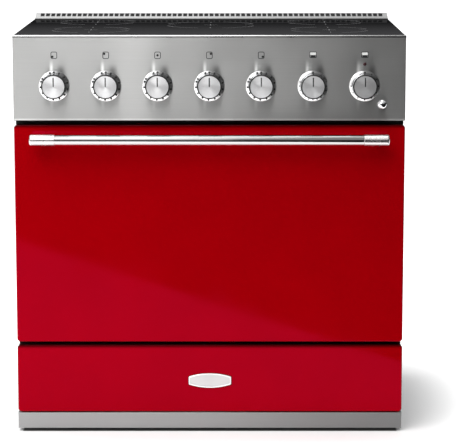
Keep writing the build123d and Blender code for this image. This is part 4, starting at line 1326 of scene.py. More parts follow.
KNOBS = tuple(f"knob_{number}" for number in range(1, 8))
KNOB_ROW = [Span.of(knob) for knob in KNOBS]
KNOB_PITCH = KNOB_ROW[1].centre.x - KNOB_ROW[0].centre.x
ROW = {"row": (KNOB_PITCH, KNOB_ROW[0].centre.z)}
PANEL = Span.of("control_panel")
GLASS = Span.of("hob_glass")
HANDLE = Span.of("handle_bar")

RED = tone(157, 0, 8)
RED_LOOK = {"reflectance": 0.36, "shine": (1.0, 0.02, 0.16, 1.0)}
# Painted shade along the top edges of the door and the drawer.
DOOR_TOP = Span.of("door_skin").high.z
DRAWER_TOP = Span.of("drawer_front").high.z
DOOR_ENAMEL = Enamel("door_enamel", "red_enamel", RED, 0.05, top_z=DOOR_TOP, **RED_LOOK)
DRAWER_ENAMEL = Enamel("drawer_enamel", "red_enamel", RED, 0.05, top_z=DRAWER_TOP, **RED_LOOK)
OVEN_ENAMEL = SpeckledEnamel("oven_enamel", "cavity_enamel", tone(44, 45, 50), 0.22)
# The front frame is near black: partly its own dark enamel, partly painted shade in the gap above the door.
DARK_SPECKS = {"speck_colour": tone(16, 16, 17)}
FRAME_SHADE_ENAMEL = SpeckledEnamel("frame_enamel", "cavity_enamel", tone(5, 5, 5), 0.6, **DARK_SPECKS)

DRAWN = {"anisotropy": 0.98}
SOFT = {"anisotropy": 0.4, "contrast": 0.06}
SPIN = {"anisotropy": 0.4, "grain": Grain.TURNED}
# The handle tube carries painted shade above its middle and painted light below.
TUBE = {"anisotropy": 0.2, "contrast": 0.08, "middle_z": HANDLE.centre.z, "radius": HANDLE.size.z / 2}
# The panel steel carries painted reflections of the knobs and a painted highlight on its lower edge.
PANEL_STEEL = KnobPanelSteel(
    "panel_steel", "brushed_steel", tone(165, 165, 164), 0.34, low_z=PANEL.low.z, **DRAWN, **ROW
)
# The plinth, trim and vent steels carry a painted shade towards the right.
PLINTH_STEEL = BrushedSteel(
    "plinth_steel", "brushed_steel", tone(160, 160, 160), 0.34, right_painted_shade=0.78, **DRAWN
)
TRIM_STEEL = BrushedSteel("trim_steel", "brushed_steel", tone(180, 180, 179), 0.26, right_painted_shade=0.4, **SOFT)
VENT_STEEL = BrushedSteel("vent_steel", "brushed_steel", tone(164, 164, 164), 0.36, right_painted_shade=0.6, **SOFT)
HANDLE_STEEL = TubeSteel("handle_steel", "satin_steel", tone(176, 175, 175), 0.08, **TUBE)
FAN_STEEL = BrushedSteel("fan_steel", "fan_steel", tone(188, 188, 188), 0.3, **SPIN)
HEAT_SINK = BrushedSteel("heat_sink", "heat_sink", tone(206, 208, 210), 0.36, contrast=0.1)
# The knob faces carry a painted shade towards the right.
KNOB_FACE = SpunAluminium("spun_aluminium", "spun_aluminium", tone(248, 248, 249), 0.45, **ROW)

CHROME = Polished("polished_chrome", "polished_chrome", tone(232, 232, 234), 0.07)
FERRULE_CHROME = Polished("ferrule_chrome", "polished_chrome", tone(208, 204, 204), 0.24)
# The bezel chrome carries painted shade and highlight round each ring.
BEZEL_CHROME = DialChrome("bezel_chrome", "polished_chrome", tone(230, 230, 230), 0.32, **ROW)
BADGE_RIM = Polished("badge_rim", "polished_chrome", tone(236, 236, 236), 0.3)
BADGE_FIELD = Polished("badge_field", "polished_chrome", tone(205, 204, 205), 0.42)
PLATED_WIRE = Polished("plated_wire", "bright_wire", tone(205, 205, 205), 0.16, soil=(45.0, 0.12))
KNOB_BARREL = Polished("knob_barrel", "spun_aluminium", tone(226, 227, 228), 0.16)
ZINC = ZincSheet("zinc_sheet", "zinc_steel", tone(188, 192, 194), 0.34)
MOTOR_STEEL = ZincSheet("motor_steel", "motor_steel", tone(170, 170, 172), 0.4, crystal_scale=600.0)
HEATER = HeatedSteel("heater_steel", "heater_steel", tone(88, 86, 84), 0.4)

WINDING = {"metallic": 1.0, "stretch": (500.0, 500.0, 60.0), "contrast": 0.6}
WINDING |= {"strength": 0.5, "depth": 0.0004}
COPPER = Strands("coil_winding", "coil_winding", tone(196, 128, 84), 0.35, **WINDING)
WOOL = Strands("mineral_wool", "mineral_wool", tone(216, 208, 176), 0.95)
HOB_GLASS = BlackGlass(
    "black_glass", "black_glass", tone(6, 6, 7), 0.06, front_y=GLASS.low.y, back_y=GLASS.high.y
)
SIDE_COAT = PowderCoat("charcoal_coat", "charcoal_coat", tone(58, 59, 61), 0.45)
SEAL = Moulded("seal_rubber", "seal_rubber", tone(48, 48, 48), 0.6)
# Near-black sheet under the vent slots: painted shade inside the vent.
VENT_SHADE_BLACK = Moulded("vent_black", "black_plastic", tone(5, 5, 5), 0.9)
BLACK_PLASTIC = Moulded("black_plastic", "black_plastic", tone(30, 30, 31), 0.42)
# Near black, so that each knob's rim also stands in for the shade in the gap round its face: partly painted
# shade.
RIM_BLACK = Moulded("rim_black", "black_plastic", tone(8, 8, 9), 0.55)
LAMP_GLASS = ClearGlass("lamp_glass", "lamp_glass", tone(244, 244, 236), 0.35)
LENS = ClearGlass("red_lens", "red_lens", tone(54, 8, 14), 0.25, transmission=0.1)
DARK_INK = PrintedInk("dark_ink", "black_plastic", tone(14, 14, 15), 0.6)
WHITE_INK = PrintedInk("white_ink", "spun_aluminium", tone(238, 238, 236), 0.5)
ZONE_INK = PrintedInk("zone_ink", "black_glass", tone(74, 74, 76), 0.4)


@dataclass(frozen=True)
class DotRow:
    """A run of equal steps on a dial, in degrees clockwise from the top."""

    first: float
    step: float
    count: int
    radius: float = 0.0023


class Dial(Enum):
    """Marks round each kind of knob."""

    ZONE = (DotRow(22, 27, 10), DotRow(289, 13, 2), DotRow(343, 17, 2, 0.0026))
    HEAT = (DotRow(36, 18, 15, 0.0014), DotRow(0, 1, 1, 0.0026))
    MODE = (DotRow(30, 30, 9, 0.0016), DotRow(0, 1, 1, 0.0026))


@dataclass
class ControlRow:
    """Control panel with its knobs, bezels, marks, indicator and push button."""

    bezel_wall: float = 0.006
    bezel_edge: float = 0.0044
    bezel_round: float = 0.0006
    bezel_land: float = 0.0003
    bezel_lip: float = 0.0004
    bezel_bulge: float = 0.0003
    bezel_steps: int = 8
    dot_circle: float = 0.0312
    dot_height: float = 0.0011
    cap_edge: float = 0.0006
    ring_width: float = 0.0024
    ring_depth: float = 0.0022
    face_dish: float = 0.0004
    barrel_step: float = 0.001
    skirt_height: float = 0.005
    skirt_slope: float = 0.0003
    skirt_width: float = 0.0006
    bore_radius: float = 0.00305
    bore_depth: float = 0.020
    pointer_width: float = 0.0027
    pointer_corner: float = 0.00125
    pointer_inset: float = 0.0040
    ink_height: float = 0.00015
    ink_root: float = 0.0002
    icon_height: float = 0.070
    icon_width: float = 0.0148
    icon_tall: float = 0.0165
    icon_corner: float = 0.004
    icon_line: float = 0.0015
    icon_dot: float = 0.0027
    dot_share: float = 0.23
    field_width: float = 0.0136
    field_tall: float = 0.0062
    field_corner: float = 0.0015
    bar_width: float = 0.0106
    bar_tall: float = 0.0048
    bar_corner: float = 0.001
    oven_width: float = 0.0162
    oven_tall: float = 0.0140
    oven_corner: float = 0.002
    lens_neck: float = 0.72
    lens_rim: float = 0.35
    lens_angles: tuple[float, ...] = (0.3, 0.6, 0.9, 1.2, 1.45)
    button_stem: float = 0.004
    button_gap: float = 0.0035
    button_edge: float = 0.0006
    button_rim: float = 0.0015
    button_end: float = 81.0
    button_steps: int = 9

    def __post_init__(self) -> None:
        """Read the places of the row from the frame."""
        bezels = Span.of("knob_bezels")
        self.front = PANEL.low.y
        self.bezel_radius = bezels.size.z / 2
        self.bezel_height = self.front - bezels.low.y
        self.bezel_bore = self.bezel_radius - self.bezel_wall
        self.centres = [Vector((span.centre.x, self.front, span.centre.z)) for span in KNOB_ROW]

    def build(self) -> None:
        """Make every piece of the row."""
        dress_nodes(PANEL_STEEL, "control_panel")
        dress_nodes(BLACK_PLASTIC, "control_switches", "light_switch")
        self.make_bezels()
        self.make_dots()
        for knob, span in zip(KNOBS, KNOB_ROW):
            self.make_knob(knob, span)
        self.make_icons()
        self.make_indicator()
        self.make_button()

    def make_bezels(self) -> None:
        """A row of chrome rings whose face slopes up to the knob."""
        outer, bore, height = self.bezel_radius, self.bezel_bore, self.bezel_height
        profile = [(outer, 0.0), (outer, self.bezel_edge - self.bezel_round)]
        profile += [self.slope_point(i / self.bezel_steps) for i in range(self.bezel_steps + 1)]
        profile += [(bore, height - self.bezel_lip), (bore, 0.0)]
        mesh = row_recipe().mesh(
            shape=shape_of(turned(profile, Vector(), FINE, closed=True)),
            count=len(KNOBS),
            start=self.centres[0],
            step=Vector((KNOB_PITCH, 0.0, 0.0)),
            material=BEZEL_CHROME.material(),
        )
        mount("bezel_rings", mesh, BEZEL_CHROME, "cabinet", "knob_bezels")

    def slope_point(self, share: float) -> Pair:
        """A point of the bezel's face.

        Args:
            share: How far the point is from the rim, at 0, to the land, at 1.

        Returns:
            Its radius and its height on the panel.
        """
        inner = self.bezel_bore + self.bezel_land
        bulge = self.bezel_bulge * 4 * share * (1 - share)
        radius = self.bezel_radius + (inner - self.bezel_radius) * share
        return radius, self.bezel_edge + (self.bezel_height - self.bezel_edge) * share + bulge

    def make_dots(self) -> None:
        """Dial marks on every bezel."""
        dials = {Dial.ZONE: self.centres[:5], Dial.HEAT: self.centres[5:6], Dial.MODE: self.centres[6:]}
        width = self.bezel_radius - self.bezel_bore - self.bezel_land
        height = self.slope_point((self.bezel_radius - self.dot_circle) / width)[1]
        lift = Vector((0.0, -height, 0.0))
        meshes = [
            dial_recipe().mesh(
                [centre + lift for centre in centres],
                count=row.count,
                first=math.radians(row.first),
                step=math.radians(row.step),
                circle=self.dot_circle,
                tilt=math.atan2(self.bezel_height - self.bezel_edge, width),
                dot=row.radius,
                height=self.dot_height,
                material=DARK_INK.material(),
            )
            for dial, centres in dials.items()
            for row in dial.value
        ]
        mount("dial_dots", gathered(meshes), DARK_INK, "cabinet")

    def make_knob(self, knob: str, span: Span) -> None:
        """One knob: a barrel with its skirt, a dark rim, a turned face and a pointer.

        Args:
            knob: Name of the CAD node and body.
            span: Box of the node.
        """
        back = Vector((span.centre.x, span.high.y, span.centre.z))
        length, skirt = span.size.y, span.size.x / 2
        cap = skirt - self.skirt_width
        reach = cap - self.ring_width
        seat = length - self.ring_depth
        step, edge, dish = self.barrel_step, self.cap_edge, self.face_dish
        body = [(TIP, self.bore_depth), (self.bore_radius, self.bore_depth), (self.bore_radius, 0.0)]
        body += [(cap - step, 0.0), (cap - step, self.skirt_height), (cap, self.skirt_height + step)]
        body += [(cap, seat), (TIP, seat)]
        mount(f"{knob}_barrel", turned(body, back, FINE), KNOB_BARREL, knob, knob)
        # Black rim round the face, which also stands in for the shade in the gap there.
        rim = [(reach, seat), (cap, seat), *bow(0, 90, edge, cap - edge, length - edge), (reach, length)]
        mount(f"{knob}_rim", turned(rim, back, FINE, closed=True), RIM_BLACK, knob)
        face = length - dish
        disc = [(reach, seat), (reach, face - dish), (reach - dish, face), (TIP, face)]
        mount(f"{knob}_face", turned(disc, back, FINE), KNOB_FACE, knob)
        top = self.skirt_height
        collar = [(cap, 0.0), (skirt, 0.0), (skirt, top - self.skirt_slope), (cap, top)]
        mount(f"{knob}_skirt", turned(collar, back, FINE, closed=True), KNOB_BARREL, knob)
        pointer = reach - self.pointer_inset
        outline = rounded(self.pointer_width, pointer, self.pointer_corner, SMALL_CORNER)
        steps = [(outline, face - self.ink_root), (outline, face + self.ink_height)]
        mount(f"{knob}_pointer", stacked(steps, back + Vector((0.0, 0.0, pointer / 2))), DARK_INK, knob)

    def plate(self, outline: Outline, centre: Vector) -> Mesh:
        """A thin printed area on the panel."""
        return stacked([(outline, 0.0), (outline, self.ink_height)], centre)

    def border(self, width: float, height: float, corner: float, centre: Vector) -> Mesh:
        """A thin printed outline on the panel.

        Args:
            width: Overall width.
            height: Overall height.
            corner: Outer corner radius.
            centre: Its middle on the panel.

        Returns:
            The outline's mesh.
        """
        line, top = self.icon_line, self.ink_height
        outer = rounded(width, height, corner)
        inner = rounded(width - 2 * line, height - 2 * line, corner - line)
        return stacked([(outer, 0.0), (outer, top), (inner, top), (inner, 0.0)], centre, closed=True)

    def make_icons(self) -> None:
        """Plain pictograms above the knobs: which zone a knob sets, or the oven."""
        reach = self.icon_width * self.dot_share
        spots = ((-reach, -reach), (-reach, reach), (0.0, 0.0), (reach, reach), (reach, -reach))
        lift = Vector((0.0, 0.0, self.icon_height))
        raised = Vector((0.0, 0.0, self.icon_height + (self.icon_tall - self.oven_tall) / 2))
        to_field = Vector((0.0, 0.0, (self.oven_tall - self.field_tall) / 2 - self.icon_line))
        to_bar = to_field - Vector((0.0, 0.0, (self.field_tall + self.bar_tall) / 2))
        field = rounded(self.field_width, self.field_tall, self.field_corner)
        bar = rounded(self.bar_width, self.bar_tall, self.bar_corner)
        dark, white = [], []
        for centre, (u, v) in zip(self.centres, spots):
            dark.append(self.border(self.icon_width, self.icon_tall, self.icon_corner, centre + lift))
            dark.append(self.plate(circle(self.icon_dot, COARSE), centre + lift + Vector((u, 0.0, v))))
        for centre in self.centres[len(spots):]:
            white.append(self.plate(field, centre + raised + to_field))
            dark.append(self.plate(bar, centre + raised + to_bar))
            dark.append(self.border(self.oven_width, self.oven_tall, self.oven_corner, centre + raised))
        mount("panel_icons", gathered(dark), DARK_INK, "cabinet")
        mount("panel_icon_fields", gathered(white), WHITE_INK, "cabinet")

    def make_indicator(self) -> None:
        """A small red lens with a low dome on its stem."""
        span = Span.of("indicator_lens")
        centre = Vector((span.centre.x, self.front, span.centre.z))
        radius, height = span.size.x / 2, self.front - span.low.y
        neck, rim = radius * self.lens_neck, height * self.lens_rim
        profile = [(neck, self.front - span.high.y), (neck, 0.0), (radius, 0.0), (radius, rim)]
        profile += [(radius * math.cos(t), rim + (height - rim) * math.sin(t)) for t in self.lens_angles]
        mount("indicator_dome", turned(profile, centre, ROUND), LENS, "cabinet", "indicator_lens")

    def make_button(self) -> None:
        """A polished dome on its stem."""
        span = Span.of("light_button")
        radius, stem, edge = span.size.x / 2, self.button_stem, self.button_edge
        rim = self.front - self.button_gap
        dome = rim - span.low.y
        profile = [(stem, rim - span.high.y), (stem, 0.0), (radius - edge, 0.0), (radius, edge)]
        rise = dome - self.button_rim
        profile += bow(0, self.button_end, radius, 0.0, self.button_rim, self.button_steps, rise)
        profile.append((TIP, dome))
        centre = Vector((span.centre.x, rim, span.centre.z))
        mount("button_dome", turned(profile, centre, FINE), CHROME, "light_button", "light_button")


@dataclass
class Hob:
    """Glass, printed zones, trim and the slotted vent at the back."""

    zone_radius: float = 0.093
    zone_inset: float = 0.088
    zone_arms: int = 4
    zone_sweep: float = 58.0
    centre_zone_radius: float = 0.108
    centre_zone_y: float = 0.060
    tick: float = 0.016
    line: float = 0.0022
    ink_height: float = 0.00006
    slot_pitch: float = 0.01345
    slot_width: float = 0.0100
    slot_corner: float = 0.0015
    slot_count: int = 65
    slot_margin: float = 0.0095
    slot_setback: float = 0.005
    # A near-black sheet under the slots, as painted shade inside the vent.
    shade_sheet_drop: float = 0.002
    gauze_corner: float = 0.001
    shade_sheet_steps: int = 2
    vent_rise: float = 0.0008
    back_drop: float = 0.0002
    sheet: float = 0.0008

    def build(self) -> None:
        """Make every piece of the hob."""
        dress_nodes(HOB_GLASS, "hob_glass")
        dress_nodes(TRIM_STEEL, "hob_trim")
        dress_nodes(ZINC, "coil_tray")
        dress_nodes(COPPER, "induction_coils")
        self.make_zones()
        self.make_vent()

    def make_zones(self) -> None:
        """Printed marks over the coils."""
        coils, inset = Span.of("induction_coils"), self.zone_inset
        top = GLASS.high.z + self.ink_height / 2
        corners = [
            Vector((x, y, top))
            for x in (coils.low.x + inset, coils.high.x - inset)
            for y in (coils.low.y + inset, coils.high.y - inset)
        ]
        middle = [Vector((0.0, self.centre_zone_y, top))]
        meshes = [
            zone_recipe().mesh(
                centres,
                radius=radius,
                tick=self.tick,
                line=self.line,
                height=self.ink_height,
                arms=self.zone_arms,
                sweep=math.radians(self.zone_sweep),
                material=ZONE_INK.material(),
            )
            for centres, radius in ((corners, self.zone_radius), (middle, self.centre_zone_radius))
        ]
        mount("zone_marks", gathered(meshes), ZONE_INK, "cabinet")

    def make_vent(self) -> None:
        """A sloping cover whose top is a row of equal slotted cells between two plain ends, over a near-black
        sheet that is painted shade inside the vent.
        """
        span = Span.of("rear_vent")
        front_top = GLASS.high.z + self.vent_rise
        slope = (span.high.z - front_top) / span.size.y
        middle = span.centre.y + self.slot_setback
        slot_length = span.size.y - 2 * self.slot_margin
        slot = rounded(self.slot_width, slot_length, self.slot_corner, SMALL_CORNER)
        border = self.cell_border(slot, self.slot_pitch / 2, middle - span.low.y, span.high.y - middle)
        base = Vector((0.0, middle, front_top + (middle - span.low.y) * slope))
        steps = ((border, 0.0), (slot, 0.0), (slot, self.sheet), (border, self.sheet))
        cell = loft([self.sloping(outline, base, slope, drop) for outline, drop in steps], ends=False)
        top = row_recipe().mesh(
            shape=shape_of(cell),
            count=self.slot_count,
            start=Vector((-self.slot_pitch * (self.slot_count - 1) / 2, 0.0, 0.0)),
            step=Vector((self.slot_pitch, 0.0, 0.0)),
            material=VENT_STEEL.material(),
        )
        mount("vent_top", top, VENT_STEEL, "cabinet", "rear_vent")
        row_half = self.slot_pitch * self.slot_count / 2
        self.make_vent_shell(span, front_top, row_half)
        # Painted shade: a near-black sheet under the slots.
        inside = rounded(2 * row_half, span.size.y - 2 * self.sheet, self.gauze_corner, self.shade_sheet_steps)
        floor = Vector((0.0, span.centre.y, front_top + span.size.y / 2 * slope))
        drops = (self.shade_sheet_drop + self.sheet, self.shade_sheet_drop)
        shade_sheet = loft([self.sloping(inside, floor, slope, drop) for drop in drops])
        mount("vent_gauze", shade_sheet, VENT_SHADE_BLACK, "cabinet")

    @staticmethod
    def sloping(outline: Outline, centre: Vector, slope: float, drop: float) -> Ring:
        """An outline laid on the vent's slope, or lowered below it."""
        return [centre + Vector((u, v, v * slope - drop)) for u, v in outline]

    @staticmethod
    def cell_border(slot: Outline, half_width: float, front: float, back: float) -> Outline:
        """Points of a cell's border that face the points of its slot, with the four corners among them.

        Args:
            slot: Outline of the slot.
            half_width: Half the width of the cell.
            front: Distance from the slot's middle to the front border.
            back: Distance from the slot's middle to the back border.

        Returns:
            The border, with as many points as the slot.
        """
        border = []
        for u, v in slot:
            depth = back if v > 0 else front
            scale = min(half_width / max(abs(u), TINY), depth / max(abs(v), TINY))
            border.append((u * scale, v * scale))
        for corner in ((half_width, back), (-half_width, back), (-half_width, -front), (half_width, -front)):
            distances = [math.dist(point, corner) for point in border]
            border[distances.index(min(distances))] = corner
        return border

    def make_vent_shell(self, span: Span, front_top: float, row_half: float) -> None:
        """Walls of the vent and the plain ends beside the slots.

        Args:
            span: Box of the vent.
            front_top: Height of its front edge.
            row_half: Half the length of the slotted row.
        """
        outline = [(span.low.y, span.low.z), (span.low.y, front_top), (span.high.y, span.high.z)]
        outline.append((span.high.y, span.low.z))
        parts = []
        for low_x, high_x in ((span.low.x, -row_half), (row_half, span.high.x)):
            parts.append(loft([[Vector((x, y, z)) for y, z in outline] for x in (low_x, high_x)]))
        walls = ((span.low.y, front_top), (span.high.y - self.sheet, span.high.z - self.back_drop))
        for near, top in walls:
            far = near + self.sheet
            box = ((-row_half, near), (row_half, near), (row_half, far), (-row_half, far))
            parts.append(loft([[Vector((x, y, z)) for x, y in box] for z in (span.low.z, top)]))
        mount("vent_shell", gathered(parts), VENT_STEEL, "cabinet")


@dataclass
class OvenDoor:
    """Enamelled door with its handle, inner panel, insulation and hinges."""

    tube_wall: float = 0.0015
    ferrule_edge: float = 0.0045
    ferrule_lead: float = 0.0008
    post_radius: float = 0.009
    post_inset: float = 0.0265
    post_gap: float = 0.002

    def build(self) -> None:
        """Make every piece of the door."""
        dress_nodes(DOOR_ENAMEL, "door_skin")
        dress_nodes(OVEN_ENAMEL, "door_liner")
        dress_nodes(WOOL, "door_insulation")
        dress_nodes(ZINC, "door_hinges")
        self.make_handle()

    def make_handle(self) -> None:
        """A satin tube between two polished ends on posts."""
        ends = Span.of("handle_ends")
        outer, end_radius = HANDLE.size.z / 2, ends.size.z / 2
        bore = outer - self.tube_wall
        left, right = HANDLE.low.x, HANDLE.high.x
        centre = Vector((0.0, HANDLE.centre.y, HANDLE.centre.z))
        profile = [(outer, left), (outer, right), (bore, right), (bore, left)]
        tube = turned(profile, centre, FINE, closed=True, facing=Facing.SIDE)
        mount("handle_tube", tube, HANDLE_STEEL, "door", "handle_bar")
        ferrule = self.ferrule(ends.high.x - right, end_radius)
        parts = []
        for side in (-1, 1):
            placed = [(r, side * (right + along)) for r, along in ferrule]
            parts.append(turned(placed, centre, FINE, facing=Facing.SIDE))
            foot = Vector((side * (ends.high.x - self.post_inset), ends.high.y, centre.z))
            post = [(self.post_radius, 0.0), (self.post_radius, foot.y - centre.y - self.post_gap)]
            parts.append(turned(post, foot, ROUND))
        mount("handle_ferrules", gathered(parts), FERRULE_CHROME, "door", "handle_ends")

    def ferrule(self, length: float, radius: float) -> Outline:
        """Profile of one polished end.

        Args:
            length: Length of the end.
            radius: Radius of the end.

        Returns:
            Pairs of radius and distance from its inner face.
        """
        edge, lead = self.ferrule_edge, self.ferrule_lead
        return [(radius - lead, 0.0), (radius, lead), *bow(0, 90, edge, radius - edge, length - edge, CORNER)]


@dataclass
class Drawer:
    """Storage drawer with its enamelled front, blank badge and slides."""

    badge_end: float = 0.020
    badge_corner: float = 0.0012
    badge_edge: float = 0.0006
    badge_bevel: float = 0.0005
    # Width and height of a dark rubber band round the plate, as a painted shadow line.
    shadow_band: float = 0.0008
    gasket_height: float = 0.0009
    rim: float = 0.0022
    rim_rise: float = 0.0008
    rim_slope: float = 0.0004
    field_inset: float = 0.0006
    field_root: float = 0.0004
    field_rise: float = 0.0002

    def build(self) -> None:
        """Make every piece of the drawer."""
        dress_nodes(DRAWER_ENAMEL, "drawer_front")
        dress_nodes(ZINC, "drawer_box", "drawer_slides", "drawer_rails")
        self.make_badge()

    def make_badge(self) -> None:
        """A blank plate with a raised rim, on a dark rubber band that is a painted shadow line round it."""
        span = Span.of("badge")
        low, rim = self.shadow_band, self.shadow_band + self.rim
        top = span.size.y
        floor = top - self.rim_rise
        steps = [(low, 0.0), (low, top - self.badge_edge), (low + self.badge_bevel, top)]
        steps += [(rim, top), (rim + self.rim_slope, floor)]
        mount("badge_plate", self.layer(span, steps), BADGE_RIM, "drawer", "badge")
        inset = rim + self.field_inset
        field = [(inset, floor - self.field_root), (inset, floor + self.field_rise)]
        mount("badge_field", self.layer(span, field), BADGE_FIELD, "drawer")
        # Painted shadow line: a dark rubber band round the plate.
        shadow_band = [(0.0, 0.0), (0.0, self.gasket_height)]
        mount("badge_gasket", self.layer(span, shadow_band), SEAL, "drawer")

    def layer(self, span: Span, steps: Sequence[Pair]) -> Mesh:
        """One layer of the badge.

        Args:
            span: Box of the badge.
            steps: Pairs of the inset from the badge's outline and the distance from its back.

        Returns:
            The layer's mesh.
        """
        outlines = []
        for inset, along in steps:
            width, height, end = (edge - 2 * inset for edge in (span.size.x, span.size.z, self.badge_end))
            outlines.append((barrel(width, height, end, self.badge_corner), along))
        return stacked(outlines, Vector((span.centre.x, span.high.y, span.centre.z)))


@dataclass
class Oven:
    """Cavity with its racks, shelves, fans, elements, lamp and seal."""

    frame_wire: float = 0.0025
    bar_wire: float = 0.0018
    shelf_corner: float = 0.012
    shelf_bars: int = 27

    def build(self) -> None:
        """Make every piece of the oven."""
        dress_nodes(OVEN_ENAMEL, "oven_liner", "fan_baffle")
        dress_nodes(FRAME_SHADE_ENAMEL, "front_frame")
        dress_nodes(WOOL, "oven_insulation")
        dress_nodes(MOTOR_STEEL, "fan_motors")
        dress_nodes(HEATER, "ring_elements", "grill_element")
        dress_nodes(FAN_STEEL, "oven_fan_left", "oven_fan_right")
        dress_nodes(LAMP_GLASS, "oven_lamp")
        dress_nodes(PLATED_WIRE, "shelf_racks")
        dress_nodes(SEAL, "door_seal")
        dress_nodes(ZINC, "hinge_receivers")
        for node in ("oven_shelf_lower", "oven_shelf_upper"):
            self.make_shelf(node)

    def make_shelf(self, node: str) -> None:
        """A wire shelf on its rails.

        Args:
            node: CAD node of the shelf.
        """
        span = Span.of(node)
        mesh = shelf_recipe().mesh(
            [span.centre],
            width=span.size.x - 2 * self.frame_wire,
            depth=span.size.y - 2 * self.frame_wire,
            corner=self.shelf_corner,
            frame=self.frame_wire,
            wire=self.bar_wire,
            bars=self.shelf_bars,
            material=PLATED_WIRE.material(),
        )
        mount(f"{node}_wires", mesh, PLATED_WIRE, "cabinet", node)


@dataclass
class Cabinet:
    """Body panels, plinth, feet, rollers, screws and what sits inside."""

    head_radius: float = 0.0045
    head_height: float = 0.002
    head_rim: float = 0.0008
    head_crown: float = 0.0012
    crown_start: float = 22.5
    crown_steps: int = 3
    stem_radius: float = 0.002
    stem_length: float = 0.006
    screw_reach: float = 0.00945
    tread_edge: float = 0.002
    tread_bore: float = 0.00405
    near_angles: Triple = (0.5, 1.0, math.pi / 2)
    far_angles: Triple = (0.0, 0.5, 1.0)

    def build(self) -> None:
        """Make every piece of the cabinet."""
        dress_nodes(PLINTH_STEEL, "plinth")
        dress_nodes(SIDE_COAT, "side_panel_left", "side_panel_right")
        dress_nodes(ZINC, "back_panel", "base_pan", "top_deck", "roller_brackets", "front_feet")
        dress_nodes(HEAT_SINK, "power_modules")
        dress_nodes(BLACK_PLASTIC, "cooling_fan_housing", "cooling_fan", "terminal_box")
        self.make_screws("back_screws", "cabinet")
        self.make_screws("door_screws", "door")
        for node in ("roller_left", "roller_right"):
            self.make_roller(node)

    def make_screws(self, node: str, body: str) -> None:
        """Domed screws in place of a node's plain ones.

        Args:
            node: CAD node with one solid for each screw.
            body: Body that the screws ride on.
        """
        radius, stem, rim, crown = self.head_radius, self.stem_radius, self.head_rim, self.head_crown
        profile = [(stem, -self.stem_length), (stem, 0.0), (radius, 0.0), (radius, rim)]
        rise = self.head_height - rim
        profile += bow(self.crown_start, 90, radius - crown, crown, rim, self.crown_steps, rise)
        head = turned([(r, -a) for r, a in profile], Vector(), COARSE)
        seat = Span.of(node).high.y - self.head_height
        spots = [Vector((x, seat, z)) for x, z in screw_places(node, self.screw_reach)]
        mesh = spread_recipe().mesh(spots, shape=shape_of(head), material=ZINC.material())
        mount(f"{node}_heads", mesh, ZINC, body, node)

    def make_roller(self, node: str) -> None:
        """A roller with rounded edges and its axle bore.

        Args:
            node: CAD node and body of the roller.
        """
        span = Span.of(node)
        width, edge, bore = span.size.x, self.tread_edge, self.tread_bore
        shoulder = span.size.z / 2 - edge
        near = [(shoulder + edge * math.sin(t), edge - edge * math.cos(t)) for t in self.near_angles]
        far = [(shoulder + edge * math.cos(t), width - edge + edge * math.sin(t)) for t in self.far_angles]
        profile = [(bore, 0.0), (shoulder, 0.0), *near, *far, (shoulder, width), (bore, width)]
        centre = Vector((span.low.x, span.centre.y, span.centre.z))
        tread = turned(profile, centre, ROUND, closed=True, facing=Facing.SIDE)
        mount(f"{node}_tread", tread, BLACK_PLASTIC, node, node)


def screw_places(node: str, reach: float) -> Outline:
    """Centres of the separate screws in a CAD node, seen from the front.

    Args:
        node: Name of the node.
        reach: Distance along X and Z within which vertices belong to one screw.

    Returns:
        X and Z of each screw.
    """
    groups: list[Outline] = []
    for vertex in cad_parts[node].data.vertices:
        x, _, z = vertex.co
        for group in groups:
            if abs(group[0][0] - x) < reach and abs(group[0][1] - z) < reach:
                group.append((x, z))
                break
        else:
            groups.append([(x, z)])
    return [tuple((min(side) + max(side)) / 2 for side in zip(*group)) for group in groups]


@dataclass(frozen=True)
class SoftBox:
    """A rectangular studio light."""

    name: str
    place: Triple
    target: Triple
    width: float
    height: float
    radiance: float

    def build(self) -> None:
        """Make the lamp and aim it."""
        lamp = bpy.data.lights.new(self.name, "AREA")
        lamp.shape = "RECTANGLE"
        lamp.size = self.width
        lamp.size_y = self.height
        lamp.energy = self.radiance * math.pi * self.width * self.height
        holder = bpy.data.objects.new(self.name, lamp)
        holder.location = self.place
        aim = Vector(self.target) - Vector(self.place)
        holder.rotation_euler = aim.to_track_quat("-Z", "Y").to_euler()
        bpy.context.scene.collection.objects.link(holder)


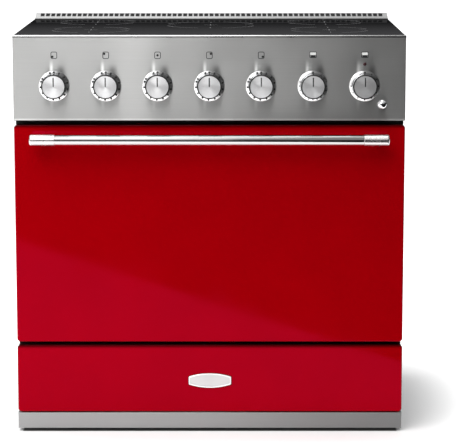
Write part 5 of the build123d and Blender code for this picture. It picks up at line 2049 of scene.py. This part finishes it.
@dataclass
class Studio:
    """Camera, white paper floor, soft boxes and the room round them."""

    camera_place: Triple = (0.0483, -5.2, 1.297)
    lens: float = 168.3
    pitch: float = 9.27
    far: float = 40.0
    paper_left: Pair = (-3.0, -6.58)
    paper_right: Pair = (0.75, -0.61)
    paper_white: float = 0.86
    paper_roughness: float = 0.9
    # Painted shadow in a strip of floor under the range, behind the plinth.
    cover_inset: float = 0.010
    cover_depth: float = 0.060
    cover_edge: float = 0.003
    painted_shadow_level: float = 0.15
    # The glow grows from near the range outwards; its weakness near the range is painted shade.
    near_lift: float = 0.06
    far_lift: float = 0.7
    lift_reach: float = 0.32
    ceiling_range: Pair = (0.10, 0.95)
    ceiling_light: Pair = (0.015, 1.2)
    side_range: Pair = (-0.6, 0.7)
    side_light: Pair = (1.2, 0.6)
    back_range: Pair = (0.0, 0.1)
    low_range: Pair = (-0.02, 0.0)

    def build(self) -> None:
        """Set up the photograph."""
        bpy.context.scene.view_settings.view_transform = "Standard"
        self.make_camera()
        self.make_floor()
        self.make_room()
        boxes = (
            SoftBox("key", (-1.2, -2.4, 3.5), (0.0, -0.3, 0.5), 2.8, 2.0, 3.9),
            SoftBox("wall", (-1.45, -3.6, 2.4), (-1.45, 0.0, 2.4), 3.0, 2.2, 1.15),
            SoftBox("left", (-3.4, -2.0, 1.3), (0.0, -0.4, 0.8), 2.2, 2.4, 1.1),
            SoftBox("fill", (1.55, -3.6, 2.4), (1.55, 0.0, 2.4), 3.0, 2.2, 0.24),
            SoftBox("top", (-0.40, -0.10, 3.0), (-0.35, -0.05, 0.0), 2.0, 1.6, 4.2),
            SoftBox("rim", (0.0, 2.4, 2.2), (0.0, 0.3, 0.9), 3.0, 1.0, 1.4),
        )
        for box in boxes:
            box.build()

    def make_camera(self) -> None:
        """A long lens in front of the range, looking slightly down."""
        camera = bpy.data.cameras.new("camera")
        camera.lens = self.lens
        holder = bpy.data.objects.new("camera", camera)
        holder.location = self.camera_place
        holder.rotation_euler = (math.radians(90 - self.pitch), 0.0, 0.0)
        bpy.context.scene.collection.objects.link(holder)
        bpy.context.scene.camera = holder

    def make_floor(self) -> None:
        """White paper that ends in front of the range, along a slanting edge."""
        far = self.far
        corners = [(-far, self.paper_left[1]), self.paper_left, self.paper_right, (far, self.paper_right[1])]
        corners += [(far, far), (-far, far)]
        mesh = bpy.data.meshes.new("paper_floor")
        mesh.from_pydata([(x, y, 0.0) for x, y in corners], [], [tuple(range(len(corners)))])
        floor = bpy.data.objects.new("paper_floor", mesh)
        bpy.context.scene.collection.objects.link(floor)
        mesh.materials.append(self.paper())

    def paper(self) -> bpy.types.Material:
        """White paper that glows a little where it is seen, so that it reads as white; the glow is weaker
        near the range, as painted shade round it.

        Returns:
            The paper's material.
        """
        made = bpy.data.materials.new("paper")
        nodes = Surface(made)
        # Painted shadow under the plinth, in both the colour and the glow.
        cover = self.painted_shadow_strip(nodes)
        lift = nodes.remap(self.away(nodes), 0.0, self.lift_reach, self.near_lift, self.far_lift)
        looks = {
            "Base Color": nodes.scaled((self.paper_white,) * 3, cover),
            "Roughness": self.paper_roughness,
            "Specular IOR Level": 0.0,
            "Emission Color": WHITE,
            "Emission Strength": nodes.product(nodes.math("MAXIMUM", *self.rays(nodes)), lift, cover),
        }
        nodes.feed(nodes.shader, looks)
        return made

    def painted_shadow_strip(self, nodes: Surface) -> Socket:
        """Painted shadow: darken the floor in a strip under the range, behind its plinth.

        Args:
            nodes: Tree of the paper.

        Returns:
            A factor that is low in the strip and one elsewhere.
        """
        plinth = Span.of("plinth")
        aside = nodes.math("SUBTRACT", nodes.math("ABSOLUTE", nodes.x), plinth.high.x - self.cover_inset)
        before = nodes.math("SUBTRACT", plinth.low.y, nodes.y)
        behind = nodes.math("SUBTRACT", nodes.y, plinth.low.y + self.cover_depth)
        outside = nodes.math("MAXIMUM", nodes.math("MAXIMUM", aside, before), behind)
        return nodes.remap(outside, -self.cover_edge, self.cover_edge, self.painted_shadow_level, 1.0)

    @staticmethod
    def away(nodes: Surface) -> Socket:
        """Measure on the floor from the range's box.

        Args:
            nodes: Tree of the paper.

        Returns:
            The distance, which is zero under the range.
        """
        squares = 0.0
        for place, low, high in zip((nodes.x, nodes.y), *cad_box):
            offset = nodes.math("ABSOLUTE", nodes.math("SUBTRACT", place, (low + high) / 2))
            outside = nodes.math("MAXIMUM", nodes.math("SUBTRACT", offset, (high - low) / 2), 0.0)
            squares = nodes.math("MULTIPLY_ADD", outside, outside, squares)
        return nodes.math("SQRT", squares)

    @staticmethod
    def rays(nodes: NodeBuilder) -> tuple[Socket, Socket]:
        """Tell rays apart by where they come from.

        Args:
            nodes: Tree of the paper or the room.

        Returns:
            Whether a ray comes straight from the camera, and whether from a shiny or clear surface.
        """
        path = nodes.add("ShaderNodeLightPath").outputs
        shiny = nodes.math("MAXIMUM", path["Is Glossy Ray"], path["Is Transmission Ray"])
        return path["Is Camera Ray"], shiny

    def make_room(self) -> None:
        """A dim room with a pale ceiling; the camera sees white past the paper."""
        world = bpy.data.worlds.new("room")
        bpy.context.scene.world = world
        world.use_nodes = True
        nodes = NodeBuilder(world.node_tree)
        world.node_tree.nodes.clear()
        x, y, z = nodes.split(nodes.add("ShaderNodeTexCoord").outputs["Generated"])
        height = nodes.remap(z, *self.ceiling_range, *self.ceiling_light)
        ceiling = nodes.product(height, nodes.remap(x, *self.side_range, *self.side_light))
        camera, shiny = self.rays(nodes)
        low = nodes.remap(z, *self.low_range, 1.0, 0.0)
        behind = nodes.product(shiny, nodes.remap(y, *self.back_range, 0.0, 1.0), low)
        seen = nodes.math("MAXIMUM", camera, behind)
        strength = nodes.value("ShaderNodeMix", {0: seen, 2: ceiling, 3: 1.0}, data_type="FLOAT")
        room = nodes.value("ShaderNodeBackground", {"Color": WHITE, "Strength": strength})
        nodes.add("ShaderNodeOutputWorld", {"Surface": room})


def main() -> None:
    """Build the range piece by piece, then the studio."""
    logging.basicConfig(level=logging.INFO, format="%(name)s: %(message)s")
    for assembly in (ControlRow(), Hob(), OvenDoor(), Drawer(), Oven(), Cabinet(), Studio()):
        assembly.build()
        log.info("%s done", type(assembly).__name__)


if __name__ == "__main__":
    main()
